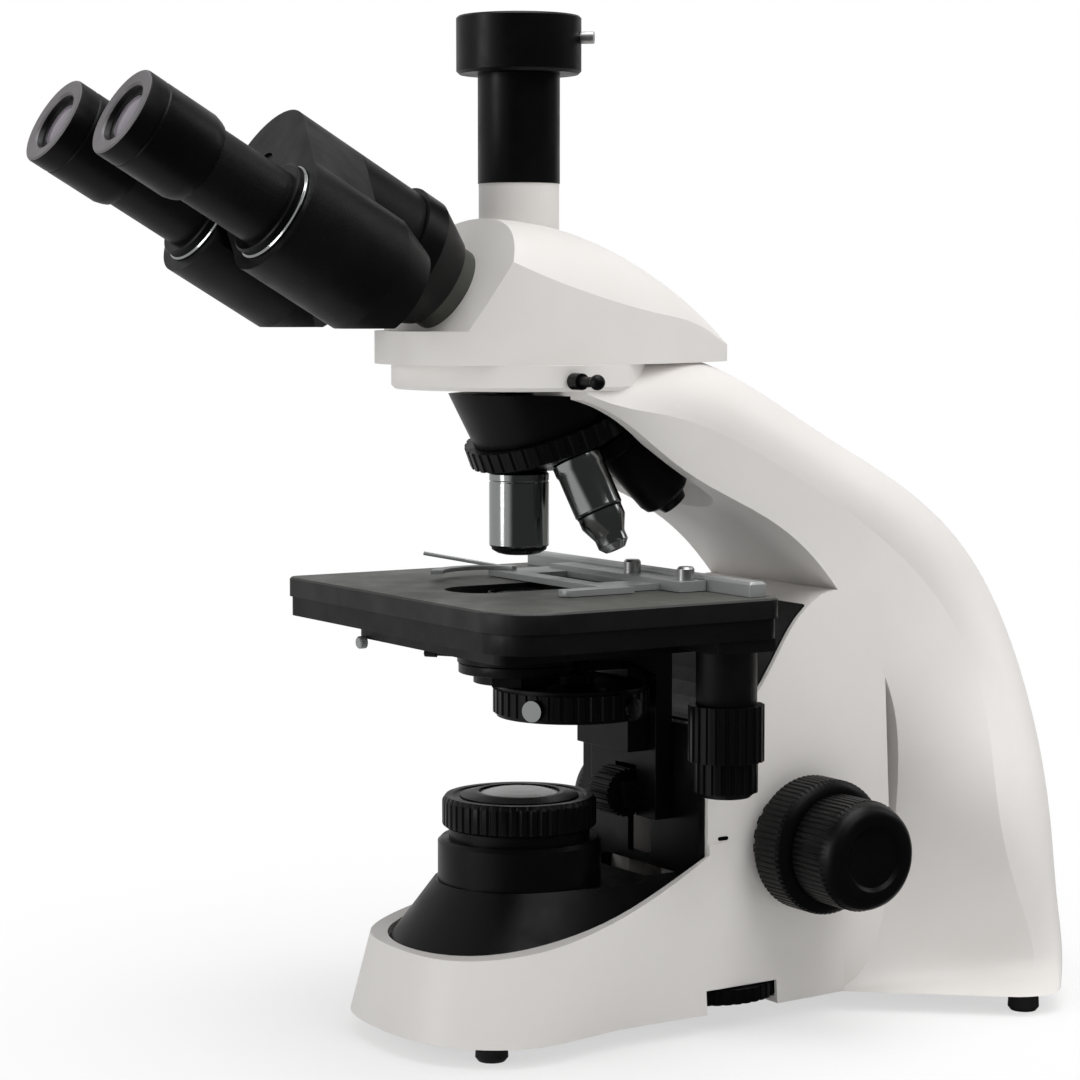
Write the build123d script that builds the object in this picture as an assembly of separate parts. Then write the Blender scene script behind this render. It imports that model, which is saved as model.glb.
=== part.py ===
from build123d import *
from math import acos, atan2, cos, hypot, pi, radians, sin, sqrt, tan
import os

# Upright phase contrast microscope, sizes in millimetres.
# The optical axis is X = 0, Y = 0, the feet stand on Z = 0, the user sits at -Y
# and the arm stands at +Y. +X is the user's right hand.

# Fits
RUN = 0.05            # radial clearance of a running shaft
AIR = 0.3             # air between bodies that move past each other

# Base
FOOT_H = 8.0
FOOT_R = 6.5
FOOT_FRONT = (38.0, -36.0)
FOOT_REAR = (86.0, 194.0)
PLATE_T = 2.5
PLATE_HALF = 28.0
PLATE_FRONT = -50.0
PLATE_REAR = 188.0
SCREW_R = 2.5
SCREW_HEAD_H = 1.5
NOSE_BOTTOM = 65.0    # plan radius of the nose at the foot level
NOSE_DRAFT = 13.5     # degrees that the nose leans back
DECK_FLOOR = 38.0
DECK_TOP = 62.0
RIM_FRONT = 40.5      # height of the white rim at the nose
RIM_REAR = 72.0       # and where it meets the column
RIM_WALL = 5.5

# Column and arch
COLUMN_HALF = 45.0
COLUMN_FRONT = 61.5
COLUMN_STEP = 124.0   # height where the column front leans back under the arch
ARCH_Y = 40.0         # centre of the arch
ARCH_Z = 110.0
REAR_Y = 224.0
BASE_HALF = 98.0
ARM_TOP = 270.0       # seam between arm and head
ARM_NOSE_R = 51.0
ARM_NOSE_T = 10.0
ARM_UNDER = 257.7     # flat seat of the nosepiece body
LIGHT_R = 11.0

# Power and light
INLET_X = -24.0
SWITCH_X = 24.0
REAR_Z = 30.0
WHEEL_R = 29.0
WHEEL_T = 6.0
WHEEL_Y = 75.5
WHEEL_OUT = 3.5
WHEEL_PIN = 3.0
LAMP_R = 33.0
LAMP_NECK_R = 28.5
LAMP_BODY_TOP = 79.0
LAMP_NECK_TOP = 83.0
RING_R = 31.2
RING_H = 13.0
LAMP_TUBE_R = 24.0
LAMP_BORE_R = 17.0
FIELD_LENS_R = 16.4
FIELD_LENS_TOP = 98.5

# Focus
FOCUS_Y = 107.0
FOCUS_Z = 74.0
COARSE_SHAFT_R = 7.0
MID_SHAFT_R = 4.9     # where the shaft carries the pinion
FINE_SHAFT_R = 3.5
BUSH_R = 11.0
BUSH_LEN = 20.0
TENSION_R = 23.0
TENSION_T = 4.0
COARSE_R = 27.5
COARSE_T = 20.0
FINE_R = 21.0
FINE_T = 26.0
RACK_MODULE = 0.8
PINION_TEETH = 18
PRESSURE = 25.0
TOOTH_ADD = 0.9
TOOTH_DED = 1.2
BACKLASH = 0.12
PINION_T = 12.0
SLIDE_HALF = 12.0
SLIDE_T = 12.0
SLIDE_LOW = 58.0
SLIDE_HIGH = 118.0
CHANNEL_LOW = 36.0
CHANNEL_HIGH = 122.0
NECK_HALF = 8.0
COVER_T = 2.8

# Stage
BRACKET_HALF = 24.0
BRACKET_T = 8.0
BRACKET_LOW = 84.0
SHELF_T = 6.0
STAGE_TOP = 180.0
LAYER_T = 8.0
STAGE_LEFT = -91.0
STAGE_RIGHT = 89.0
STAGE_FRONT = -59.0
STAGE_BACK = 66.0
STAGE_CORNER = 22.0
LOWER_T = 7.6
LOWER_LEFT = -64.0
LOWER_RIGHT = 52.0
LOWER_FRONT = -40.0
LOWER_BACK = 58.0
Y_FORWARD = 20.0
Y_BACK = 16.0
STAGE_HOLE_R = 15.0
LOWER_HOLE_R = 27.5
DRIVE_X = 74.0
DRIVE_Y = 49.5
DRIVE_R = 12.0
DRIVE_LOW = 138.0
Y_KNOB_R = 15.0
Y_KNOB_H = 22.0
X_KNOB_R = 12.5
X_KNOB_H = 14.0
DRIVE_SHAFT_R = 4.5
DRIVE_ROD_R = 2.5
GUIDE_Y = 54.0
GUIDE_W = 8.0
GUIDE_H = 6.0
HOLDER_T = 2.4
CARRIAGE_T = 4.0
FINGER_Y = 20.0
SLIDE_GLASS_L = 76.0
SLIDE_GLASS_W = 26.0

# Condenser
COND_TOP = 178.3
COND_LENS_R = 12.0
COND_R = 26.0
COND_TUBE_R = 18.5
COND_LOW = 142.0
TURRET_R = 31.5
TURRET_X = 15.2
TURRET_Y = 15.2
TURRET_PIN_R = 4.0
TURRET_T = 12.5
TURRET_HOLE_R = 7.0
TURRET_STATIONS = 5
TURRET_SCREW_OUT = 2.4
COND_BLOCK_HALF = 19.0
COND_BLOCK_LOW = 112.0
COND_BLOCK_Y = 40.0
COND_KNOB_R = 10.0
COND_KNOB_X = 2.0
COND_KNOB_T = 14.0
COND_KNOB_Y = 46.5
COND_KNOB_Z = 93.5
COND_PIN_R = 2.5
COND_RING_TOP = 150.0
COND_RING_T = 4.0
COND_LUG_T = 3.7
IRIS_REACH = 41.0

# Nosepiece
APEX_Z = 285.0        # where all objective axes meet
TILT = 22.0           # angle between the turret axis and each objective axis
SHOULDER = 58.6       # from the apex to the seat of an objective
MOUNT_R = 36.0
MOUNT_END_R = 33.0
REVOLVER_R = 37.0
REVOLVER_START = 40.5 # top of the revolver disc below the apex
REVOLVER_STUD_R = 5.0
OBJECTIVES = 5
THREAD_R = 10.0
THREAD_L = 4.5

# Head
INCLINE = 30.0
PIVOT_Y = -174.0      # pivot axis beside the eyepiece faces
PIVOT_Z = 380.2
DROP = 21.0           # eyepiece axes below the pivot axis
IPD = 62.0
WING_R = 24.0
LINK_R = 25.0
WING_START = 70.0
LINK_SPLIT = 100.0
WING_FULL = 114.0
WING_END = 129.0
WING_END_R = 19.0
HUB_START = 130.0
HUB_R = 27.0
HUB_END = 155.0
BOSS_R = 17.5
FACE = 162.0          # inclined front face of the head, along the pivot axis
PIN_R = 6.0
IPD_MIN = 52.0
EYE_R = 17.5
EYE_L = 33.0
TUBE_R = 15.0
SLEEVE_R = 11.6       # standard eyepiece sleeve
RING_START = 66.0
TUBE_RING_R = 19.5
TUBE_RING_T = 4.0
LIP_TOP = 283.0
UNDERCUT_Z = 284.5
DOVETAIL_R = 22.0
DOVETAIL_H = 4.5
PRISM = 13.0          # half the width of the beam prism
PRISM_LOW = 290.0
PORT_R = 16.0
PORT_TOP = 341.0
PHOTO_R = 16.3
PHOTO_TOP = 384.0
PHOTO_BORE = 11.6
COLLAR_R = 24.8
COLLAR_TOP = 406.7
COLLAR_BORE = 19.0
COLLAR_BORE_DEPTH = 12.0
COLLAR_SCREW_Z = 398.0
LOCK_Y = -7.0
LOCK_Z = 264.0
LOCK_R = 2.0
LOCK_OUT = 18.0
BALL_R = 3.0


def turned(outline, origin=(0, 0, 0), axis=(0, 0, 1)):
    """Solid of revolution from (radius, height) points about an axis through origin."""
    wire = Polyline([(r, 0, h) for r, h in outline], close=True)
    return Plane(origin=origin, z_dir=axis) * revolve(make_face(wire), Axis.Z)


def rod(radius, length, origin, axis=(0, 0, 1)):
    """Round bar that starts at origin."""
    return Plane(origin=origin, z_dir=axis) * Cylinder(
        radius, length, align=(Align.CENTER, Align.CENTER, Align.MIN))


def box(x0, x1, y0, y1, z0, z1):
    """Block between two corners."""
    return Pos((x0 + x1) / 2, (y0 + y1) / 2, (z0 + z1) / 2) * Box(x1 - x0, y1 - y0, z1 - z0)


def grip(radius, depth, count, length, origin, axis=(0, 0, 1)):
    """Knob with count straight flutes pressed into its rim."""
    points = []
    for index in range(count):
        for share, r in ((0.0, radius), (0.5, radius), (0.62, radius - depth), (0.88, radius - depth)):
            angle = 2 * pi * (index + share) / count
            points.append((r * cos(angle), r * sin(angle)))
    face = make_face(Polyline(points, close=True))
    return Plane(origin=origin, z_dir=axis) * extrude(face, length)


def side_profile(points, half):
    """Closed (Y, Z) outline extruded to both sides of the middle plane."""
    face = make_face(Polyline([(0, y, z) for y, z in points], close=True))
    return extrude(face, half, both=True)


def nose_face(shrink, z, half, back):
    """Plan of the base front: round nose, slightly waisted sides, straight back."""
    nose = NOSE_BOTTOM - shrink
    side = half
    points = [
        (0, -nose), (0.62 * nose, -0.86 * nose), (0.89 * nose, -0.45 * nose),
        (side + 2.5 - 0.06 * shrink, 4), (side, 48), (side - 4, back),
    ]
    right = [(x, y, z) for x, y in points]
    left = [(-x, y, z) for x, y in reversed(points[1:])]
    curve = Spline(*(left + right))
    return make_face([curve, Line(curve @ 1, curve @ 0)])


def rim_cut():
    """Space above the sweeping rim of the base, in front of the column."""
    rim = Spline((0, -90, RIM_FRONT - 1), (0, -45, RIM_FRONT), (0, -8, RIM_FRONT + 5.5),
                 (0, 15, RIM_FRONT + 11.5), (0, 36, RIM_FRONT + 19.5), (0, COLUMN_FRONT, RIM_REAR))
    high = 400
    top = Polyline([rim @ 1, (0, COLUMN_FRONT, high), (0, -90, high), rim @ 0])
    return extrude(make_face([rim, top]), 90, both=True)


def deck_outline(z, gap):
    """Plan of the sunk deck inside the rim."""
    half = COLUMN_HALF + 2 - gap
    nose = NOSE_BOTTOM - (DECK_FLOOR - FOOT_H) * tan(radians(NOSE_DRAFT)) - RIM_WALL - gap
    points = [(0, -nose - 1), (0.66 * nose, -0.76 * nose), (half - 1, -9), (half, 20),
              (half - 2, COLUMN_FRONT - gap)]
    right = [(x, y, z) for x, y in points]
    left = [(-x, y, z) for x, y in reversed(points[1:])]
    curve = Spline(*(left + right))
    return make_face([curve, Line(curve @ 1, curve @ 0)])


def arch_section(angle, inner, rim, shoulder, outer, crease_x, rim_x):
    """Section of the arm in a plane that leans by angle about the arch centre."""
    along = (cos(radians(angle)), sin(radians(angle)))

    def at(x, r):
        return (x, ARCH_Y + r * along[0], ARCH_Z + r * along[1])

    return section_face(at, inner, rim, shoulder, outer, crease_x, rim_x)


def section_face(at, inner, rim, shoulder, outer, crease_x, rim_x):
    """Six-sided arm section: front, two flanks and a round back between the rims."""
    back = Spline(at(rim_x, rim), at(0.86 * rim_x, rim + 0.72 * (shoulder - rim)),
                  at(0.55 * rim_x, shoulder + 1),
                  at(0, outer),
                  at(-0.55 * rim_x, shoulder + 1), at(-0.86 * rim_x, rim + 0.72 * (shoulder - rim)),
                  at(-rim_x, rim))
    front = Polyline([at(-rim_x, rim), at(-crease_x, inner), at(crease_x, inner), at(rim_x, rim)])
    return make_face([back, front])


def level_section(z, inner, rim, outer, crease_x, rim_x, bulge):
    """Level section of the lower arm, with the flanks flared towards the rear feet."""
    def at(x, y):
        return (x, y, z)

    back = Spline(at(rim_x, rim), at(rim_x + bulge, rim + 0.42 * (outer - rim)), at(0.78 * rim_x, outer - 3),
                  at(0, outer),
                  at(-0.78 * rim_x, outer - 3), at(-rim_x - bulge, rim + 0.42 * (outer - rim)),
                  at(-rim_x, rim))
    front = Polyline([at(-rim_x, rim), at(-crease_x, inner), at(crease_x, inner), at(rim_x, rim)])
    return make_face([back, front])


def arm_body():
    """Arch from the nose over the top and down into the wide rear of the base."""
    def upright(y, bottom, rim, shoulder, top, crease_x, rim_x):
        return section_face(lambda x, z: (x, y, z), bottom, rim, shoulder, top, crease_x, rim_x)

    sections = [
        upright(0, 256.5, 259, 270, 272, 46, 50),
        upright(ARCH_Y, 234, 249.5, 271, 273.5, 45, 49),
        arch_section(70, 110, 131, 158.5, 161, 45, 48),
        arch_section(52, 109, 131.5, 159, 162.5, 45, 47),
        arch_section(35, 109, 142, 175, 178, 45, 44),
        arch_section(17, 114, 155.5, 192, 194, 45, 47.5),
        level_section(ARCH_Z, 119 + ARCH_Y, 190, 231, COLUMN_HALF, 68, 1),
        level_section(60, 116 + ARCH_Y, 190, 231, COLUMN_HALF, 81, 1.5),
        level_section(FOOT_H, 126, 184, REAR_Y, COLUMN_HALF, BASE_HALF - 4, 3),
    ]
    return loft(sections)


def column_body():
    """Upright block between the base and the arch, with its front leaning back at the top."""
    lean = Spline((0, COLUMN_FRONT, COLUMN_STEP), (0, 88, 139), (0, 104, 163), (0, 124, 176))
    front = Polyline([lean @ 1, (0, 150, 176), (0, 158, FOOT_H), (0, COLUMN_FRONT, FOOT_H), lean @ 0])
    return extrude(make_face([lean, front]), COLUMN_HALF, both=True)


def base_front():
    """Nose of the base, lofted between the foot level and the column level."""
    high = RIM_REAR + 4
    lean = (high - FOOT_H) * tan(radians(NOSE_DRAFT))
    back = 130
    return loft([nose_face(0, FOOT_H, 51, back), nose_face(lean, high, COLUMN_HALF + 3, back)])


def revolver_axis():
    """Direction of the nosepiece axis, leaning back from the optical axis."""
    return Vector(0, sin(radians(TILT)), -cos(radians(TILT)))


def nosepiece_pocket():
    """Space in the arm for the nosepiece body and the turning objectives."""
    wide = REVOLVER_R + 2.5
    low = 130
    swing = turned([(0, 38), (wide, 38), (wide, 56), (wide + 12, 92), (wide + 12, low), (0, low)],
                   (0, 0, APEX_Z), revolver_axis())
    return [swing, rod(wide, 60, (0, 10, ARM_UNDER - 60))]


def stand_casting():
    nose = rod(ARM_NOSE_R, ARM_NOSE_T, (0, 0, ARM_TOP - ARM_NOSE_T))
    nose = chamfer(nose.faces().sort_by(Axis.Z)[0].edges(), 1.5)
    front = base_front() - rim_cut()
    arm = arm_body()
    for space in nosepiece_pocket():
        arm -= space
        nose -= space
    body = arm + column_body() + front + nose
    body -= box(-120, 120, -80, 100, ARM_TOP, ARM_TOP + 60)
    deck = extrude(deck_outline(DECK_FLOOR, 0), 80)
    body -= deck
    body -= rod(LIGHT_R, 40, (0, 0, ARM_TOP - 30))
    body -= rod(DOVETAIL_R, 20, (0, 0, ARM_TOP - DOVETAIL_H - 0.5))
    # Room for the lamp and its wiring, closed below by the base plate.
    room = PLATE_HALF - 3
    body -= box(-room, room, -44, 100, FOOT_H - 1, 30)
    body -= rod(LAMP_BORE_R + 4, DECK_FLOOR, (0, 0, FOOT_H))
    rebate = PLATE_HALF + AIR
    body -= box(-rebate, rebate, PLATE_FRONT - AIR, PLATE_REAR + AIR, FOOT_H - 1, FOOT_H + PLATE_T)
    # Channel of the focusing slide and bore of the focus shafts.
    ways = SLIDE_HALF + RUN
    body -= box(-ways, ways, COLUMN_FRONT - 1, FOCUS_Y + 10, CHANNEL_LOW, CHANNEL_HIGH)
    body -= rod(BUSH_R, 2 * COLUMN_HALF + 2, (-COLUMN_HALF - 1, FOCUS_Y, FOCUS_Z), (1, 0, 0))
    # Slot of the brightness wheel at the foot of the right side.
    body -= rod(WHEEL_R + 1, WHEEL_T + 1.2, (wheel_x(), WHEEL_Y, FOOT_H + PLATE_T))
    body -= box(wheel_x(), 70, WHEEL_Y - 18, WHEEL_Y + 18, FOOT_H - 1, FOOT_H + PLATE_T + WHEEL_T + 1.2)
    # Flat recess for the inlet and the switch.
    body -= box(-44, 44, REAR_Y - 8, REAR_Y + 30, REAR_Z - 16, REAR_Z + 16)
    # Thread of the head lock screw.
    body -= rod(LOCK_R + RUN, 30, (ARM_NOSE_R - 12, LOCK_Y, LOCK_Z), (1, 0, 0))
    return body


def base_plate():
    plate = box(-PLATE_HALF, PLATE_HALF, PLATE_FRONT, PLATE_REAR, FOOT_H, FOOT_H + PLATE_T)
    plate = fillet(plate.edges().filter_by(Axis.Z), 8)
    for x, y in plate_screw_places():
        plate -= rod(SCREW_R + AIR, PLATE_T, (x, y, FOOT_H))
    return plate + rod(WHEEL_PIN, PLATE_T + WHEEL_T, (wheel_x(), WHEEL_Y, FOOT_H))


def wheel_x():
    """Centre of the brightness wheel, whose rim stands a little proud of the side wall."""
    return COLUMN_HALF + 4 + WHEEL_OUT - WHEEL_R


def plate_screw_places():
    reach = PLATE_HALF - 7
    return [(x, y) for x in (-reach, reach) for y in (PLATE_FRONT + 3 + SCREW_R, 118, PLATE_REAR - 7)]


def base_plate_screws():
    return [rod(SCREW_R, PLATE_T - SCREW_HEAD_H + 1, (x, y, FOOT_H + 0.5)) for x, y in plate_screw_places()]


def rubber_feet():
    foot = [(0, 0), (FOOT_R - 1.2, 0), (FOOT_R, 1.5), (FOOT_R - 0.3, FOOT_H), (0, FOOT_H)]
    places = [(s * x, y) for x, y in (FOOT_FRONT, FOOT_REAR) for s in (-1, 1)]
    return [turned(foot, (x, y, 0)) for x, y in places]


def deck_cover():
    low = deck_outline(DECK_FLOOR, AIR)
    points = [(0, -LAMP_R - 1), (24, -25), (LAMP_R + 1, 0), (LAMP_R + 3, 30),
              (LAMP_R + 5, COLUMN_FRONT - AIR)]
    right = [(x, y, DECK_TOP) for x, y in points]
    left = [(-x, y, DECK_TOP) for x, y in reversed(points[1:])]
    curve = Spline(*(left + right))
    top = make_face([curve, Line(curve @ 1, curve @ 0)])
    cover = loft([low, top])
    cover -= rod(LAMP_BORE_R + 3, 40, (0, 0, DECK_FLOOR - 1))
    cover -= box(-BRACKET_HALF - 1, BRACKET_HALF + 1, 44, COLUMN_FRONT + 1, DECK_TOP - 6, DECK_TOP + 1)
    return cover


def column_cover():
    """Black cover over the channel, with the slot that the bracket neck runs in."""
    back = COLUMN_FRONT - 0.1
    cover = box(-COLUMN_HALF + 2, COLUMN_HALF - 2, back - COVER_T, back, DECK_TOP + AIR, CHANNEL_HIGH + 2)
    cover -= box(-NECK_HALF - 0.5, NECK_HALF + 0.5, back - COVER_T - 1, back + 1, DECK_TOP + 4,
                 CHANNEL_HIGH - 2)
    return cover


def illuminator_housing():
    low = DECK_TOP
    return turned([
        (LAMP_BORE_R - 3, low), (LAMP_R, low), (LAMP_R, LAMP_BODY_TOP - 1.5), (LAMP_R - 1.5, LAMP_BODY_TOP),
        (LAMP_NECK_R, LAMP_BODY_TOP), (LAMP_NECK_R, LAMP_NECK_TOP),
        (LAMP_TUBE_R, LAMP_NECK_TOP), (LAMP_TUBE_R, LAMP_NECK_TOP + RING_H),
        (FIELD_LENS_R + 1.8, FIELD_LENS_TOP - 1),
        (FIELD_LENS_R + RUN, FIELD_LENS_TOP - 1), (FIELD_LENS_R + RUN, FIELD_LENS_TOP - 6),
        (FIELD_LENS_R - 2, FIELD_LENS_TOP - 6), (FIELD_LENS_R - 2, 74), (LAMP_BORE_R + RUN, 74),
        (LAMP_BORE_R + RUN, 66), (LAMP_BORE_R - 3, 66),
    ])


def field_lens():
    low = FIELD_LENS_TOP - 6
    top = FIELD_LENS_TOP
    return turned([(0, low), (FIELD_LENS_R, low), (FIELD_LENS_R, top - 2), (12, top - 0.9), (7, top - 0.2),
                   (0, top)])


def collector_lens():
    return turned([(0, 66), (LAMP_BORE_R, 66), (LAMP_BORE_R, 69), (8, 72), (0, 73)])


def lamp_module():
    """Finned heat sink with the lamp chip on top, standing on the base plate."""
    low = FOOT_H + PLATE_T
    sink = rod(20, 4, (0, 0, low))
    for index in range(7):
        y = -15 + 5 * index
        reach = sqrt(19.5 ** 2 - y ** 2)
        sink += box(-reach, reach, y - 1, y + 1, low + 4, low + 12)
    sink += rod(16, 3, (0, 0, low + 12))
    return sink + rod(5, 2, (0, 0, low + 15))


def power_inlet():
    """Inlet socket and, beside it, the frame of the rocker switch."""
    y = REAR_Y - 8
    body = box(INLET_X - 13.5, INLET_X + 13.5, y, y + 6, REAR_Z - 10, REAR_Z + 10)
    body = chamfer(body.edges().filter_by(Axis.Y).sort_by(Axis.Z)[-2:], 4)
    body -= box(INLET_X - 11, INLET_X + 11, y + 1, y + 7, REAR_Z - 7, REAR_Z + 4)
    for dx, dz in ((-7, -2), (0, 1), (7, -2)):
        body += box(INLET_X + dx - 1, INLET_X + dx + 1, y, y + 5, REAR_Z + dz - 2, REAR_Z + dz + 2)
    frame = box(SWITCH_X - 10, SWITCH_X + 10, y, y + 4, REAR_Z - 14, REAR_Z + 14)
    return [body, frame - box(SWITCH_X - 7.5, SWITCH_X + 7.5, y + 1, y + 5, REAR_Z - 11, REAR_Z + 11)]


def power_switch():
    """Rocker on a cross pin, tipped on at one end."""
    y = REAR_Y - 8
    half = 7.0
    shape = side_profile([(y + 2.2, REAR_Z - 8), (y + 5.5, REAR_Z - 10), (y + 4.6, REAR_Z),
                          (y + 5.5, REAR_Z + 10),
                          (y + 2.2, REAR_Z + 8)], half)
    return Pos(SWITCH_X, 0, 0) * shape


def brightness_wheel():
    wheel = grip(WHEEL_R, 0.6, 40, WHEEL_T, (wheel_x(), WHEEL_Y, FOOT_H + PLATE_T + AIR))
    return wheel - rod(WHEEL_PIN + RUN, 20, (wheel_x(), WHEEL_Y, FOOT_H))


def field_ring():
    ring = grip(RING_R, 0.7, 48, RING_H - AIR, (0, 0, LAMP_NECK_TOP + AIR))
    return ring - rod(LAMP_TUBE_R + RUN, 40, (0, 0, LAMP_NECK_TOP - 5))


def rack_outline(pitch_y, low, high, phase_z, side):
    """Straight-flanked rack teeth as (Y, Z) points, pointing to +Y or -Y."""
    pitch = pi * RACK_MODULE
    slope = tan(radians(PRESSURE))
    tip = TOOTH_ADD * RACK_MODULE
    root = TOOTH_DED * RACK_MODULE
    half = pitch / 4 - BACKLASH / 2
    count = int((high - low) / pitch) - 1
    first = phase_z + pitch * round((low - phase_z) / pitch + 1)
    points = [(pitch_y - side * root, low)]
    for index in range(count):
        z = first + index * pitch
        points += [(pitch_y - side * root, z - half - root * slope),
                   (pitch_y + side * tip, z - half + tip * slope),
                   (pitch_y + side * tip, z + half - tip * slope),
                   (pitch_y - side * root, z + half + root * slope)]
    points.append((pitch_y - side * root, high))
    return points


def focus_slide():
    """Block that runs in the column channel, with the rack on its back and the bracket neck."""
    front = COLUMN_FRONT + 14
    pitch_y = FOCUS_Y - RACK_MODULE * PINION_TEETH / 2
    half_pitch = pi * RACK_MODULE / 2
    teeth = rack_outline(pitch_y, SLIDE_LOW, SLIDE_HIGH, FOCUS_Z + half_pitch, 1)
    rack = side_profile(teeth + [(front, SLIDE_HIGH), (front, SLIDE_LOW)], PINION_T / 2)
    body = box(-SLIDE_HALF, SLIDE_HALF, front, front + SLIDE_T, SLIDE_LOW, SLIDE_HIGH)
    neck = box(-NECK_HALF, NECK_HALF, bracket_front() + BRACKET_T, front, BRACKET_LOW + 2, CHANNEL_HIGH - 8)
    return rack + body + neck


def involute(base_r, r):
    """Angle in radians that an involute has turned where it reaches radius r."""
    lean = acos(base_r / r)
    return tan(lean) - lean


def focus_pinion():
    """Involute pinion cut on the coarse shaft, in mesh with the slide's rack."""
    pitch_r = RACK_MODULE * PINION_TEETH / 2
    base_r = pitch_r * cos(radians(PRESSURE))
    tip_r = pitch_r + TOOTH_ADD * RACK_MODULE
    root_r = pitch_r - TOOTH_DED * RACK_MODULE
    half = pi / (2 * PINION_TEETH) - BACKLASH / 2 / pitch_r
    start = half + involute(base_r, pitch_r)
    radii = [base_r + (tip_r - base_r) * step / 4 for step in range(5)]
    points = []
    for tooth in range(PINION_TEETH):
        middle = pi + 2 * pi * tooth / PINION_TEETH
        flank = [(r, start - involute(base_r, r)) for r in radii]
        side_a = [(root_r, start)] + flank
        outline = [(r, middle - a) for r, a in side_a] + [(r, middle + a) for r, a in reversed(side_a)]
        points += [(0, FOCUS_Y + r * cos(a), FOCUS_Z + r * sin(a)) for r, a in outline]
    wheel = extrude(make_face(Polyline(points, close=True)), PINION_T / 2 - 0.5, both=True)
    return wheel - rod(FINE_SHAFT_R + RUN, 30, (-15, FOCUS_Y, FOCUS_Z), (1, 0, 0))


def bracket_front():
    """Front face of the stage bracket, which runs just clear of the column cover."""
    return COLUMN_FRONT - 0.1 - COVER_T - AIR - BRACKET_T


def coarse_shaft():
    """Hollow shaft, thinner in the middle where it carries the pinion."""
    reach = COLUMN_HALF + TENSION_T + COARSE_T
    bore = FINE_SHAFT_R + RUN
    shoulder = COLUMN_HALF - BUSH_LEN
    half = [(bore, 0), (MID_SHAFT_R, 0), (MID_SHAFT_R, shoulder), (COARSE_SHAFT_R, shoulder),
            (COARSE_SHAFT_R, reach),
            (bore, reach)]
    right = turned(half, (0, FOCUS_Y, FOCUS_Z), (1, 0, 0))
    return right + mirror(right, about=Plane.YZ) + focus_pinion()


def focus_bushes():
    bushes = []
    for side in (-1, 1):
        start = side * (COLUMN_HALF - BUSH_LEN)
        bush = rod(BUSH_R, BUSH_LEN + TENSION_T + 0.4, (start, FOCUS_Y, FOCUS_Z), (side, 0, 0))
        bushes.append(bush - rod(COARSE_SHAFT_R + RUN, 60, (start, FOCUS_Y, FOCUS_Z), (side, 0, 0)))
    return bushes


def fine_shaft():
    reach = COLUMN_HALF + TENSION_T + COARSE_T + FINE_T - 4.2
    return rod(FINE_SHAFT_R, 2 * reach, (-reach, FOCUS_Y, FOCUS_Z), (1, 0, 0))


def tension_ring():
    ring = grip(TENSION_R, 0.8, 24, TENSION_T, (COLUMN_HALF + 0.2, FOCUS_Y, FOCUS_Z), (1, 0, 0))
    return ring - rod(BUSH_R + RUN, 20, (COLUMN_HALF - 5, FOCUS_Y, FOCUS_Z), (1, 0, 0))


def coarse_knob(side):
    """Large fluted focus knob with a plain collar towards the column."""
    start = side * (COLUMN_HALF + TENSION_T + 0.8)
    origin = (start, FOCUS_Y, FOCUS_Z)
    collar = rod(COARSE_R - 4, 4, origin, (side, 0, 0))
    knob = grip(COARSE_R, 0.9, 36, COARSE_T - 4.6, (start + side * 4, FOCUS_Y, FOCUS_Z), (side, 0, 0))
    knob += collar
    return knob - rod(COARSE_SHAFT_R, 40, origin, (side, 0, 0))


def fine_knob(side):
    """Fine focus knob with a fluted rim and a dished cap."""
    start = side * (COLUMN_HALF + TENSION_T + COARSE_T + 0.8)
    origin = (start, FOCUS_Y, FOCUS_Z)
    knob = grip(FINE_R, 0.8, 30, FINE_T - 8, origin, (side, 0, 0))
    cap = turned([(0, 0), (FINE_R - 1.5, 0), (FINE_R - 1.5, 5), (FINE_R - 4.5, 8), (FINE_R - 8, 8),
                  (FINE_R - 10, 6.5),
                  (0, 6.5)], (start + side * (FINE_T - 8), FOCUS_Y, FOCUS_Z), (side, 0, 0))
    return knob + cap - rod(FINE_SHAFT_R, FINE_T - 5, origin, (side, 0, 0))


def lower_top():
    """Top of the fixed stage plate, just below the moving layers."""
    return STAGE_TOP - 2 * LAYER_T - AIR


def stage_bracket():
    """Angle bracket that carries the fixed stage plate, with a window for the condenser knob."""
    front = bracket_front()
    top = lower_top() - LOWER_T
    body = box(-BRACKET_HALF, BRACKET_HALF, front, front + BRACKET_T, BRACKET_LOW, top)
    body += box(-BRACKET_HALF, BRACKET_HALF, 18, front + BRACKET_T, top - SHELF_T, top)
    brace = side_profile([(front + 1, top - 13), (front + 1, top - 1), (front - 22, top - 1)], 2)
    for side in (-1, 1):
        body += Pos(side * (BRACKET_HALF - 2), 0, 0) * brace
    body -= rod(LOWER_HOLE_R, SHELF_T + 2, (0, 0, top - SHELF_T - 1))
    inner = COND_KNOB_T / 2 + 0.5
    ear_y = COND_KNOB_Y - 4.5
    for side in (-1, 1):
        x0, x1 = sorted((COND_KNOB_X + side * inner, COND_KNOB_X + side * (inner + 3.5)))
        body += box(x0, x1, ear_y, front + 1, COND_KNOB_Z - 5.5, COND_KNOB_Z + 5.5)
    body -= box(COND_KNOB_X - inner, COND_KNOB_X + inner, front - 12, front + BRACKET_T + 1,
                BRACKET_LOW - 1, COND_KNOB_Z + COND_KNOB_R + 1)
    return body - rod(COND_PIN_R + RUN, 40, (COND_KNOB_X - 20, COND_KNOB_Y, COND_KNOB_Z), (1, 0, 0))


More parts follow.
